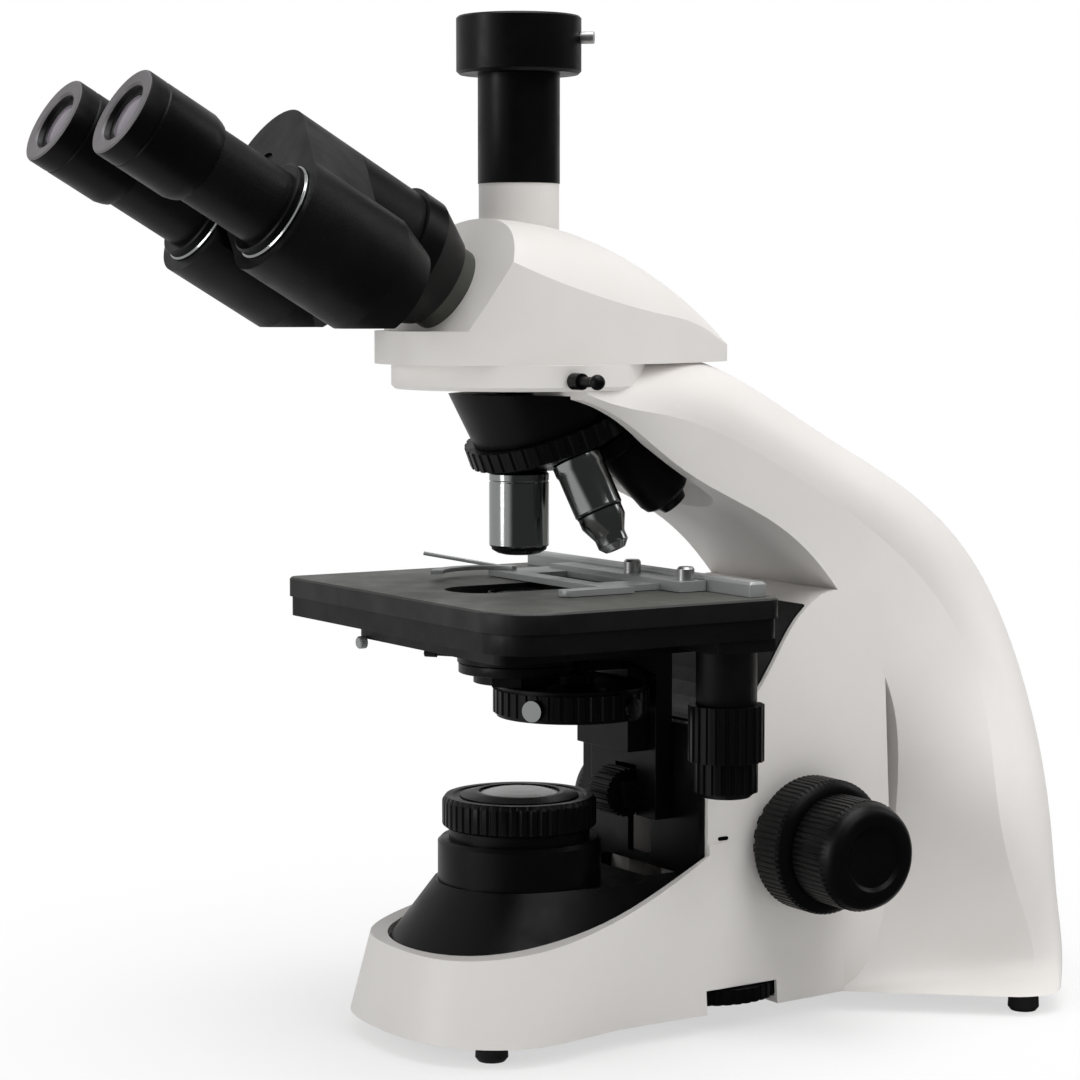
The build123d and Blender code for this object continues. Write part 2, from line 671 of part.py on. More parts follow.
def condenser_knob():
    knob = grip(COND_KNOB_R, 0.6, 24, COND_KNOB_T,
                (COND_KNOB_X - COND_KNOB_T / 2, COND_KNOB_Y, COND_KNOB_Z), (1, 0, 0))
    reach = COND_KNOB_T / 2 + 4
    return knob + rod(COND_PIN_R, 2 * reach, (COND_KNOB_X - reach, COND_KNOB_Y, COND_KNOB_Z), (1, 0, 0))


def stage_lower_plate():
    top = lower_top()
    plate = box(LOWER_LEFT, LOWER_RIGHT, LOWER_FRONT, LOWER_BACK, top - LOWER_T, top)
    plate = fillet(plate.edges().filter_by(Axis.Z), 6)
    return plate - rod(LOWER_HOLE_R, 30, (0, 0, top - 20))


def stage_layer(inset, low, high):
    """One layer of the moving stage, with a large radius at the front right corner."""
    layer = box(STAGE_LEFT + inset, STAGE_RIGHT - inset, STAGE_FRONT + inset, STAGE_BACK - inset, low, high)
    uprights = layer.edges().filter_by(Axis.Z)
    right_front = uprights.sort_by(lambda edge: edge.center().X - edge.center().Y)[-1]
    others = [edge for edge in uprights if edge.center() != right_front.center()]
    layer = fillet(others, 6)
    corner = layer.edges().filter_by(Axis.Z).sort_by(lambda edge: edge.center().X - edge.center().Y)[-1]
    return fillet([corner], STAGE_CORNER)


def stage_top_plate():
    plate = stage_layer(0, STAGE_TOP - LAYER_T, STAGE_TOP)
    plate = chamfer(plate.faces().sort_by(Axis.Z)[-1].edges(), 0.8)
    front = -STAGE_HOLE_R - Y_BACK - 1
    back = STAGE_HOLE_R + Y_FORWARD + 1
    slot = box(-STAGE_HOLE_R, STAGE_HOLE_R, front, back, STAGE_TOP - LAYER_T - 1, STAGE_TOP + 1)
    return plate - fillet(slot.edges().filter_by(Axis.Z), STAGE_HOLE_R - 1)


def stage_frame():
    low = STAGE_TOP - 2 * LAYER_T
    frame = stage_layer(0.8, low, STAGE_TOP - LAYER_T)
    side = LOWER_HOLE_R + 4
    window = box(-side, side, -LOWER_HOLE_R - Y_BACK, LOWER_HOLE_R + Y_FORWARD - 6, low - 1,
                 low + LAYER_T + 1)
    return frame - fillet(window.edges().filter_by(Axis.Z), 10)


def slide_guide():
    bar = box(STAGE_LEFT + 10, STAGE_RIGHT - 6, GUIDE_Y, GUIDE_Y + GUIDE_W, STAGE_TOP, STAGE_TOP + GUIDE_H)
    return chamfer(bar.faces().sort_by(Axis.Z)[-1].edges(), 1)


def carriage_bar():
    """Strip that slides along the guide and carries the slide holder."""
    low = STAGE_TOP + AIR
    return box(-42, 54, GUIDE_Y - 13, GUIDE_Y - AIR, low, low + CARRIAGE_T)


def slide_carriage():
    low = STAGE_TOP + AIR
    half = SLIDE_GLASS_L / 2
    edge = SLIDE_GLASS_W / 2
    body = carriage_bar()
    body += box(-half - 8, half + 2, edge + AIR, GUIDE_Y - 12, low, low + HOLDER_T)
    body -= box(-half + 14, half - 14, edge + 9, GUIDE_Y - 16, low - 1, low + HOLDER_T + 1)
    corner = box(half + AIR, half + 8, -edge + 6, edge + 12, low, low + HOLDER_T)
    corner = fillet(corner.edges().filter_by(Axis.Z).sort_by(Axis.Y)[:2], 3)
    body += corner
    body -= rod(1.6 + RUN, 10, (-half - 4, FINGER_Y, low - 1))
    return body


def holder_screws():
    low = STAGE_TOP + AIR + CARRIAGE_T
    head = [(0, low), (3.5, low), (3.5, low + 4.5), (2.8, low + 5.4), (0, low + 5.4)]
    return [turned([(r, z) for r, z in head], (x, GUIDE_Y - 6, 0)) for x in (10, 48)]


def slide_finger():
    """Sprung curved finger that presses the slide into the corner, with its thumb lever."""
    low = STAGE_TOP + AIR + HOLDER_T + 0.1
    x = -SLIDE_GLASS_L / 2 - 4
    tip = -SLIDE_GLASS_W / 2 - 2
    outer = ThreePointArc((x - 4, FINGER_Y), (x - 10, FINGER_Y / 2 + tip / 2), (x + 2, tip - 3))
    inner = ThreePointArc((x + 5, tip + 1), (x - 4.5, FINGER_Y / 2 + tip / 2 + 1), (x + 4, FINGER_Y))
    cap = ThreePointArc((x + 4, FINGER_Y), (x, FINGER_Y + 4), (x - 4, FINGER_Y))
    face = make_face([outer, Line((x + 2, tip - 3), (x + 5, tip + 1)), inner, cap])
    finger = Pos(0, 0, low) * extrude(face, 1.6)
    finger += rod(1.6, HOLDER_T + 1, (x, FINGER_Y, low - HOLDER_T))
    lever = Vector(-20, -26, 5.4)
    return finger + rod(0.8, lever.length, (x - 3, FINGER_Y - 1, low + 0.9), lever.normalized())


def drive_housing():
    low = DRIVE_LOW
    top = STAGE_TOP - 2 * LAYER_T
    body = rod(DRIVE_R, top - low, (DRIVE_X, DRIVE_Y, low))
    body += box(DRIVE_X - 15, DRIVE_X + 13, DRIVE_Y - 13, DRIVE_Y + 14, top - 5, top)
    return (body - rod(DRIVE_SHAFT_R + RUN, 60, (DRIVE_X, DRIVE_Y, low - 1))
            + rod(DRIVE_R, 2, (DRIVE_X, DRIVE_Y, top - 2)))


def stage_y_knob():
    top = DRIVE_LOW - AIR
    knob = grip(Y_KNOB_R, 0.8, 24, Y_KNOB_H, (DRIVE_X, DRIVE_Y, top - Y_KNOB_H))
    knob += rod(DRIVE_SHAFT_R, Y_KNOB_H + 20, (DRIVE_X, DRIVE_Y, top - Y_KNOB_H))
    return knob - rod(DRIVE_ROD_R + RUN, 80, (DRIVE_X, DRIVE_Y, top - Y_KNOB_H - 1))


def stage_x_knob():
    top = DRIVE_LOW - 2 * AIR - Y_KNOB_H
    knob = grip(X_KNOB_R, 0.8, 20, X_KNOB_H - 2, (DRIVE_X, DRIVE_Y, top - X_KNOB_H + 2))
    knob += turned([(0, 0), (X_KNOB_R - 3, 0), (X_KNOB_R - 1, 2), (0, 2)], (DRIVE_X, DRIVE_Y, top - X_KNOB_H))
    return knob + rod(DRIVE_ROD_R, X_KNOB_H + Y_KNOB_H + 18, (DRIVE_X, DRIVE_Y, top - X_KNOB_H))


def condenser_carrier():
    """Slide of the condenser, with the ring that holds its tube."""
    back = bracket_front() - AIR
    block = box(-COND_BLOCK_HALF, COND_BLOCK_HALF, COND_BLOCK_Y, back, COND_BLOCK_LOW, COND_RING_TOP)
    ring_low = COND_RING_TOP - COND_RING_T
    ring = rod(COND_TUBE_R + 6, COND_RING_T, (0, 0, ring_low))
    arm = box(-16, 16, 12, COND_BLOCK_Y + 1, ring_low, COND_RING_TOP)
    body = block + ring + arm
    body -= rod(TURRET_R + TURRET_SCREW_OUT + 0.8, TURRET_T + 2,
                (TURRET_X, TURRET_Y, COND_LOW - TURRET_T - 1.5))
    return body - rod(COND_TUBE_R, 40, (0, 0, COND_LOW - 10))


def condenser_body():
    """Condenser tube, iris housing and lens mount, with the lug of the phase turret."""
    neck = COND_TUBE_R - 0.02
    body = turned([
        (COND_LENS_R + 1, COND_LOW), (neck, COND_LOW), (neck, COND_RING_TOP + 2.6),
        (COND_R, COND_RING_TOP + 2.6),
        (COND_R, COND_RING_TOP + 8), (COND_R - 4, COND_RING_TOP + 12), (15.5, COND_RING_TOP + 15),
        (14, COND_TOP - 4), (COND_LENS_R + 0.5, COND_TOP), (COND_LENS_R, COND_TOP),
        (COND_LENS_R, COND_TOP - 9),
        (COND_LENS_R + 1, COND_TOP - 9),
    ])
    lug = rod(9, COND_LUG_T, (TURRET_X, TURRET_Y, COND_LOW))
    reach = hypot(TURRET_X, TURRET_Y)
    web = box(COND_TUBE_R - 3, reach, -6, 6, COND_LOW, COND_LOW + COND_LUG_T)
    lug += Rot(0, 0, Vector(1, 0, 0).get_signed_angle(Vector(TURRET_X, TURRET_Y, 0))) * web
    return body + lug - rod(TURRET_PIN_R + RUN, 20, (TURRET_X, TURRET_Y, COND_LOW - 1))


def condenser_lens():
    low = COND_TOP - 9
    return turned([(0, low), (COND_LENS_R - RUN, low), (COND_LENS_R - RUN, COND_TOP - 2), (9, COND_TOP - 0.6),
                   (0, COND_TOP - 0.3)])


def iris_lever():
    low = COND_RING_TOP + AIR
    ring = rod(COND_R - 1, 2, (0, 0, low)) - rod(COND_TUBE_R + RUN, 10, (0, 0, low - 4))
    direction = Vector(-0.83, -0.56, 0)
    start = direction * (COND_R - 2)
    lever = rod(0.95, IRIS_REACH - COND_R + 2, (start.X, start.Y, low + 1), direction)
    end = direction * (IRIS_REACH - 4)
    return ring + lever + rod(1.6, 5, (end.X, end.Y, low + 1), direction)


def turret_stations():
    """Centres of the turret openings; the first is on the optical axis."""
    reach = hypot(TURRET_X, TURRET_Y)
    start = Vector(1, 0, 0).get_signed_angle(Vector(-TURRET_X, -TURRET_Y, 0))
    places = []
    for index in range(TURRET_STATIONS):
        angle = radians(start + 360 / TURRET_STATIONS * index)
        places.append((TURRET_X + reach * cos(angle), TURRET_Y + reach * sin(angle)))
    return places


def phase_turret():
    low = COND_LOW - AIR - TURRET_T
    disc = grip(TURRET_R, 0.7, 40, TURRET_T - 3, (TURRET_X, TURRET_Y, low + 1.5))
    disc += rod(TURRET_R - 1.5, TURRET_T, (TURRET_X, TURRET_Y, low))
    for x, y in turret_stations():
        disc -= rod(TURRET_HOLE_R, TURRET_T + 2, (x, y, low - 1))
        disc -= rod(TURRET_HOLE_R + 1, 3, (x, y, low - 0.5))
    return disc + rod(TURRET_PIN_R, TURRET_T + COND_LUG_T, (TURRET_X, TURRET_Y, low))


def annulus_stops():
    """Phase annuli, one in each station but the last, which stays open for bright field."""
    low = COND_LOW - AIR - TURRET_T + 0.5
    stops = []
    for index, (x, y) in enumerate(turret_stations()[:-1]):
        ring = 2.4 + 1.1 * index
        plate = rod(TURRET_HOLE_R + 1 - RUN, 1.6, (x, y, low))
        slit = rod(ring + 1, 4, (x, y, low - 1)) - rod(ring, 4, (x, y, low - 1))
        bridges = box(x - 10, x + 10, y - 0.5, y + 0.5, low, low + 1.6)
        stops.append(plate - (slit - bridges))
    return stops


def turret_screws():
    """Centring screws in the rim of the turret."""
    z = COND_LOW - AIR - TURRET_T / 2 - 1
    screws = []
    for angle in (-60, 15):
        out = Vector(cos(radians(angle)), sin(radians(angle)), 0)
        start = Vector(TURRET_X, TURRET_Y, z) + out * TURRET_R
        screws.append(turned([(0, 0), (2.2, 0), (2.2, 1), (4.2, 1), (4.2, TURRET_SCREW_OUT),
                               (0, TURRET_SCREW_OUT)], start, out))
    return screws


def nosepiece_mount():
    axis = revolver_axis()
    body = turned([(0, 0), (MOUNT_R, 0), (MOUNT_R, 14), (MOUNT_END_R, REVOLVER_START - AIR),
                   (0, REVOLVER_START - AIR)],
                  (0, 0, APEX_Z), axis)
    body &= box(-80, 80, -80, 80, ARM_UNDER - 80, ARM_UNDER)
    body -= rod(LIGHT_R - 1, 80, (0, 0, ARM_UNDER - 70))
    stud = Vector(0, 0, APEX_Z) + axis * (REVOLVER_START - 8)
    return body - rod(REVOLVER_STUD_R + RUN, 20, stud, axis)


def objective_axis(index):
    """Direction of one objective axis; index 0 is in the light path."""
    angle = radians(360 / OBJECTIVES * index)
    s = sin(radians(TILT))
    c = cos(radians(TILT))
    return Vector(s * sin(angle), s * c * (1 - cos(angle)), -(c * c + s * s * cos(angle)))


def nosepiece_turret():
    """Revolver disc: fluted rim, coned seats square to each objective and a bearing stud."""
    axis = revolver_axis()
    apex = Vector(0, 0, APEX_Z)
    slope = tan(radians(TILT))
    seat_r = SHOULDER * sin(radians(TILT))
    seat_t = SHOULDER * cos(radians(TILT))
    rim_t = seat_t - (REVOLVER_R - 1.5 - seat_r) * slope
    flat_t = seat_t + (seat_r - 9) * slope
    body = turned([(0, REVOLVER_START), (REVOLVER_R - 1.5, REVOLVER_START), (REVOLVER_R - 1.5, rim_t),
                   (9, flat_t),
                   (0, flat_t)], apex, axis)
    body += grip(REVOLVER_R, 0.7, 40, rim_t - REVOLVER_START - 0.6, apex + axis * REVOLVER_START, axis)
    for index in range(OBJECTIVES):
        body -= rod(THREAD_R + RUN, 30, apex + objective_axis(index) * (SHOULDER - 25), objective_axis(index))
    return body + rod(REVOLVER_STUD_R, 8.5, apex + axis * (REVOLVER_START - 7.5), axis)


def objective(index, outline):
    """Objective from (radius, distance from its seat) points, screwed into one seat."""
    direction = objective_axis(index)
    seat = Vector(0, 0, APEX_Z) + direction * SHOULDER
    thread = [(0, -THREAD_L), (THREAD_R, -THREAD_L), (THREAD_R, 0)]
    return turned(thread + outline, seat, direction)


def objective_low():
    return objective(3, [(10.6, 0), (10.6, 10), (8.4, 12), (8.4, 22), (7.2, 24), (0, 24)])


def objective_medium():
    return objective(0, [(12, 0), (12, 21), (11.4, 21.6), (11.4, 27), (8, 30), (6, 33), (0, 33)])


def objective_high():
    return objective(1, [(10.4, 0), (10.4, 4), (9.9, 5), (9.9, 22), (9.2, 23), (9.2, 27), (6.4, 33),
                         (6.3, 37),
                         (4, 39.4), (0, 39.4)])


def objective_immersion():
    return objective(2, [(11.5, 0), (11.5, 29), (9.5, 33), (6.5, 35), (5.5, 38.6), (0, 38.6)])


def objective_scan():
    return objective(4, [(10.4, 0), (10.4, 15), (8.8, 17), (8.8, 27), (6, 32), (5, 36.5), (0, 36.5)])


def head_plane(s):
    """Plane square to the inclined eyepiece direction, s behind the eyepiece faces, on the pivot axis."""
    into = (0, cos(radians(INCLINE)), -sin(radians(INCLINE)))
    return Plane(origin=(0, PIVOT_Y + s * into[1], PIVOT_Z + s * into[2]), x_dir=(1, 0, 0), z_dir=into)


def inclined(outline, s, x=0.0, y=0.0):
    """Solid of revolution about a line parallel to the eyepieces."""
    wire = Polyline([(r, 0, h) for r, h in outline], close=True)
    return head_plane(s) * Pos(x, y, 0) * revolve(make_face(wire), Axis.Z)


def head_station(y, half, height):
    """Upright section of the head: flat seat, sides leaning in and a rounded ridge."""
    rise = height - ARM_TOP

    def at(x, part):
        return (x, y, ARM_TOP + part * rise)

    ridge = Spline(at(half, 0), at(0.93 * half, 0.45), at(0.62 * half, 0.86), at(0, 1),
                   at(-0.62 * half, 0.86),
                   at(-0.93 * half, 0.45), at(-half, 0))
    return make_face([ridge, Line(ridge @ 1, ridge @ 0)])


def head_housing():
    hull = loft([head_station(-62, 52, 326), head_station(-20, 52, 327), head_station(19, 50, 321),
                 head_station(52, 42, 306), head_station(76, 30, 291), head_station(97, 16, 274)])
    seam = [(0, -58), (24, -52.5), (39, -33), (46.5, 0), (43, 38), (29, 72), (14, 92), (0, 96)]
    right = [(x, y, ARM_TOP) for x, y in seam]
    left = [(-x, y, ARM_TOP) for x, y in reversed(seam[1:-1])]
    plan = make_face(Spline(*(right + left), periodic=True))
    body = hull & extrude(plan, 80)
    # The front is planed square to the pivot axis above a narrow lip.
    planed = head_plane(FACE - 60) * Pos(0, 0, 30) * Box(140, 140, 60)
    body -= planed & box(-90, 90, -120, 40, LIP_TOP, 400)
    body += rod(PORT_R, PORT_TOP - ARM_TOP - 20, (0, 0, ARM_TOP + 20))
    body += rod(DOVETAIL_R - RUN, DOVETAIL_H, (0, 0, ARM_TOP - DOVETAIL_H))
    body -= rod(PHOTO_BORE, 120, (0, 0, ARM_TOP - 20))
    return body - box(-PRISM - AIR, PRISM + AIR, -PRISM - AIR, PRISM + AIR, PRISM_LOW,
                      PRISM_LOW + 2 * PRISM + 1)


def beam_prism():
    """Two cemented prisms that share the light between the eyepieces and the camera port."""
    low = PRISM_LOW
    high = PRISM_LOW + 2 * PRISM
    lower = side_profile([(-PRISM, low), (PRISM, low), (-PRISM, high - 0.05)], PRISM)
    upper = side_profile([(PRISM, low + 0.05), (PRISM, high), (-PRISM, high)], PRISM)
    return [lower, upper]


def pivot_boss():
    return inclined([(0, HUB_END), (BOSS_R, HUB_END), (BOSS_R, FACE), (0, FACE)], 0)


def pivot_hub():
    """Tapered hub with the pin on which both eyepiece wings swing."""
    return inclined([(0, WING_START + 1), (PIN_R, WING_START + 1), (PIN_R, HUB_START + AIR),
                     (HUB_R, HUB_START + AIR),
                     (HUB_R, HUB_START + 10), (BOSS_R + 2, HUB_END), (0, HUB_END)], 0)


def link_solid(circles, low, high):
    """Plate drawn tight around circles given as (x, y, radius), square to the pivot axis."""
    edges = []
    for x, y, r in circles:
        edges += (Pos(x, y) * Circle(r)).edges()
    return head_plane(low) * extrude(make_hull(edges), high - low, dir=(0, 0, 1))


def wing(side):
    """Prism housing of one eyepiece: link to the pivot, round body and eyepiece tube."""
    x = side * IPD / 2
    arm = hypot(IPD / 2, DROP)
    link_low, link_high = (WING_START, LINK_SPLIT - AIR) if side > 0 else (LINK_SPLIT, HUB_START)
    other_low, other_high = (LINK_SPLIT - AIR, HUB_START + 1) if side > 0 else (WING_START - 1, LINK_SPLIT)
    body = inclined([(0, WING_START), (WING_R, WING_START), (WING_R, WING_FULL), (WING_END_R, WING_END),
                     (0, WING_END)], 0, x, DROP)
    body += inclined([(0, EYE_L + 2), (TUBE_R, EYE_L + 2), (TUBE_R, WING_START + 2), (0, WING_START + 2)],
                     0, x, DROP)
    # Nearest place that the other link reaches when the eyepieces are closed.
    close = 2 * (atan2(IPD / 2, DROP) - atan2(IPD_MIN / 2, sqrt(arm ** 2 - (IPD_MIN / 2) ** 2)))
    near = atan2(IPD / 2, DROP) - close
    body -= link_solid([(0, 0, LINK_R + 0.4), (-x, DROP, WING_R + 0.4),
                        (-side * arm * sin(near), arm * cos(near), WING_R + 0.4)], other_low, other_high)
    link_end = WING_R - 0.5 if side > 0 else WING_END_R
    body += link_solid([(0, 0, LINK_R), (x, DROP, link_end)], link_low, link_high)
    body -= box(-90, 90, -160, 40, UNDERCUT_Z - 60, UNDERCUT_Z)
    body -= inclined([(0, EYE_L), (SLEEVE_R + RUN, EYE_L), (SLEEVE_R + RUN, 68), (0, 68)], 0, x, DROP)
    return body - inclined([(0, WING_START - 5), (PIN_R + RUN, WING_START - 5), (PIN_R + RUN, HUB_START + 5),
                            (0, HUB_START + 5)], 0)


def tube_ring(side):
    low = RING_START - AIR
    return inclined([(TUBE_R + RUN, low), (TUBE_RING_R - 0.8, low), (TUBE_RING_R, low + 0.8),
                     (TUBE_RING_R, low + TUBE_RING_T), (TUBE_R + RUN, low + TUBE_RING_T)], 0,
                     side * IPD / 2, DROP)


def eyepiece(side):
    """Eyepiece with a dished rim and the sleeve that drops into the tube."""
    return inclined([
        (0, 2.0), (7.5, 3.0), (8.5, 2.5), (13, 2.5), (14, 0.6), (EYE_R - 1.2, 0), (EYE_R, 1.2),
        (EYE_R, EYE_L - 3),
        (EYE_R - 0.8, EYE_L), (EYE_R - 1.5, EYE_L + 1.7), (SLEEVE_R, EYE_L + 1.7), (SLEEVE_R, 62), (8.5, 62),
        (8.5, 10), (0, 9.0),
    ], 0, side * IPD / 2, DROP)


def photo_tube():
    return turned([(PHOTO_BORE, PORT_TOP), (PHOTO_R, PORT_TOP), (PHOTO_R, PHOTO_TOP),
                   (PHOTO_BORE, PHOTO_TOP)])


def tube_collar():
    floor = COLLAR_TOP - COLLAR_BORE_DEPTH
    body = turned([
        (PHOTO_BORE, PHOTO_TOP), (COLLAR_R - 1.2, PHOTO_TOP), (COLLAR_R, PHOTO_TOP + 1.2),
        (COLLAR_R, COLLAR_TOP - 0.8),
        (COLLAR_R - 0.8, COLLAR_TOP), (COLLAR_BORE, COLLAR_TOP), (COLLAR_BORE, floor), (PHOTO_BORE, floor),
    ])
    out = collar_screw_axis()
    start = Vector(0, 0, COLLAR_SCREW_Z) + out * (COLLAR_BORE - 1)
    return body - rod(1.5 + RUN, 12, start, out)


def collar_screw_axis():
    return Vector(cos(radians(48)), sin(radians(48)), 0)


def collar_screw():
    out = collar_screw_axis()
    start = Vector(0, 0, COLLAR_SCREW_Z) + out * (COLLAR_BORE + 0.3)
    length = COLLAR_R - COLLAR_BORE
    return turned([(0, 0), (1.5, 0), (1.5, length), (2.4, length), (2.4, length + 5), (0, length + 5)],
                  start, out)


def head_lock_screw():
    start = ARM_NOSE_R - 11
    stem = rod(LOCK_R, LOCK_OUT + 8, (start, LOCK_Y, LOCK_Z), (1, 0, 0))
    stem += rod(LOCK_R + 1.2, 6, (ARM_NOSE_R + 0.5, LOCK_Y, LOCK_Z), (1, 0, 0))
    return stem + Pos(start + LOCK_OUT + 10, LOCK_Y, LOCK_Z) * Sphere(BALL_R)


def pieces():
    """Every node of the model by its name."""
    nodes = {
        "stand_casting": stand_casting(),
        "base_plate": base_plate(),
        "base_plate_screws": base_plate_screws(),
        "rubber_feet": rubber_feet(),
        "deck_cover": deck_cover(),
        "column_cover": column_cover(),
        "illuminator_housing": illuminator_housing(),
        "lamp_lenses": [field_lens(), collector_lens()],
        "lamp_module": lamp_module(),
        "power_inlet": power_inlet(),
        "focus_bushes": focus_bushes(),
        "nosepiece_mount": nosepiece_mount(),
        "power_switch": power_switch(),
        "brightness_wheel": brightness_wheel(),
        "field_ring": field_ring(),
        "coarse_shaft": coarse_shaft(),
        "coarse_knobs": [coarse_knob(1), coarse_knob(-1)],
        "fine_shaft": fine_shaft(),
        "fine_knobs": [fine_knob(1), fine_knob(-1)],
        "tension_ring": tension_ring(),
        "focus_slide": focus_slide(),
        "stage_bracket": stage_bracket(),
        "stage_lower_plate": stage_lower_plate(),
        "condenser_knob": condenser_knob(),
        "condenser_carrier": condenser_carrier(),
        "condenser_body": condenser_body(),
        "condenser_lens": condenser_lens(),
        "iris_lever": iris_lever(),
        "phase_turret": phase_turret(),
        "annulus_stops": annulus_stops(),
        "turret_screws": turret_screws(),
        "stage_top_plate": stage_top_plate(),
        "stage_frame": stage_frame(),
        "slide_guide": slide_guide(),
        "drive_housing": drive_housing(),
        "stage_y_knob": stage_y_knob(),
        "stage_x_knob": stage_x_knob(),
        "slide_carriage": slide_carriage(),
        "holder_screws": holder_screws(),
        "slide_finger": slide_finger(),
        "nosepiece_turret": nosepiece_turret(),
        "objective_low": objective_low(),
        "objective_medium": objective_medium(),
        "objective_high": objective_high(),
        "objective_immersion": objective_immersion(),
        "objective_scan": objective_scan(),
        "head_housing": head_housing(),
        "beam_prism": beam_prism(),
        "pivot_boss": pivot_boss(),
        "pivot_hub": pivot_hub(),
        "photo_tube": photo_tube(),
        "tube_collar": tube_collar(),
        "collar_screw": collar_screw(),
        "head_lock_screw": head_lock_screw(),
    }
    for name, maker in (("prism_housing", wing), ("tube_ring", tube_ring), ("eyepiece", eyepiece)):
        nodes[f"right_{name}"] = maker(1)
        nodes[f"left_{name}"] = maker(-1)
    return nodes


def main():
    os.makedirs("parts", exist_ok=True)
    for name, shape in pieces().items():
        if isinstance(shape, list):
            shape = Compound(children=shape)
        export_step(shape, f"parts/{name}.step")


if __name__ == "__main__":
    main()
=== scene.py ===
"""Finishes, fine pieces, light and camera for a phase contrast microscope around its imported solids."""

from __future__ import annotations

import logging
import math
from dataclasses import dataclass
from enum import Enum

import bmesh
import bpy
from mathutils import Matrix, Vector


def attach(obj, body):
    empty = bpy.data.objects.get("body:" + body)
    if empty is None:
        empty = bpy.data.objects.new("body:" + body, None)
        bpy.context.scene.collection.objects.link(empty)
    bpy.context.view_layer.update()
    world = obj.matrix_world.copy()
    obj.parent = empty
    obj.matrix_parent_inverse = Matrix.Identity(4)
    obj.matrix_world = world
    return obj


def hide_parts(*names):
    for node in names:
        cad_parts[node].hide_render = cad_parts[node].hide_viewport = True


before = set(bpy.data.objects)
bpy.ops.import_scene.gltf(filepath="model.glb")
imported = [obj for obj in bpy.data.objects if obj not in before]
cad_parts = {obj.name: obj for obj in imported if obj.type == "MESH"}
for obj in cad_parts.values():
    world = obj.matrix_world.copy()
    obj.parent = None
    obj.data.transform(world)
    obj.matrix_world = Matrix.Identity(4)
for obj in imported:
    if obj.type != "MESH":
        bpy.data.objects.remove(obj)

log = logging.getLogger("microscope")

MM = 0.001

Colour = tuple[float, float, float]


class Grain(Enum):
    """How the small unevenness of a surface runs."""

    SPECKLE = "speckle"
    PEBBLE = "pebble"
    TURNED = "turned"


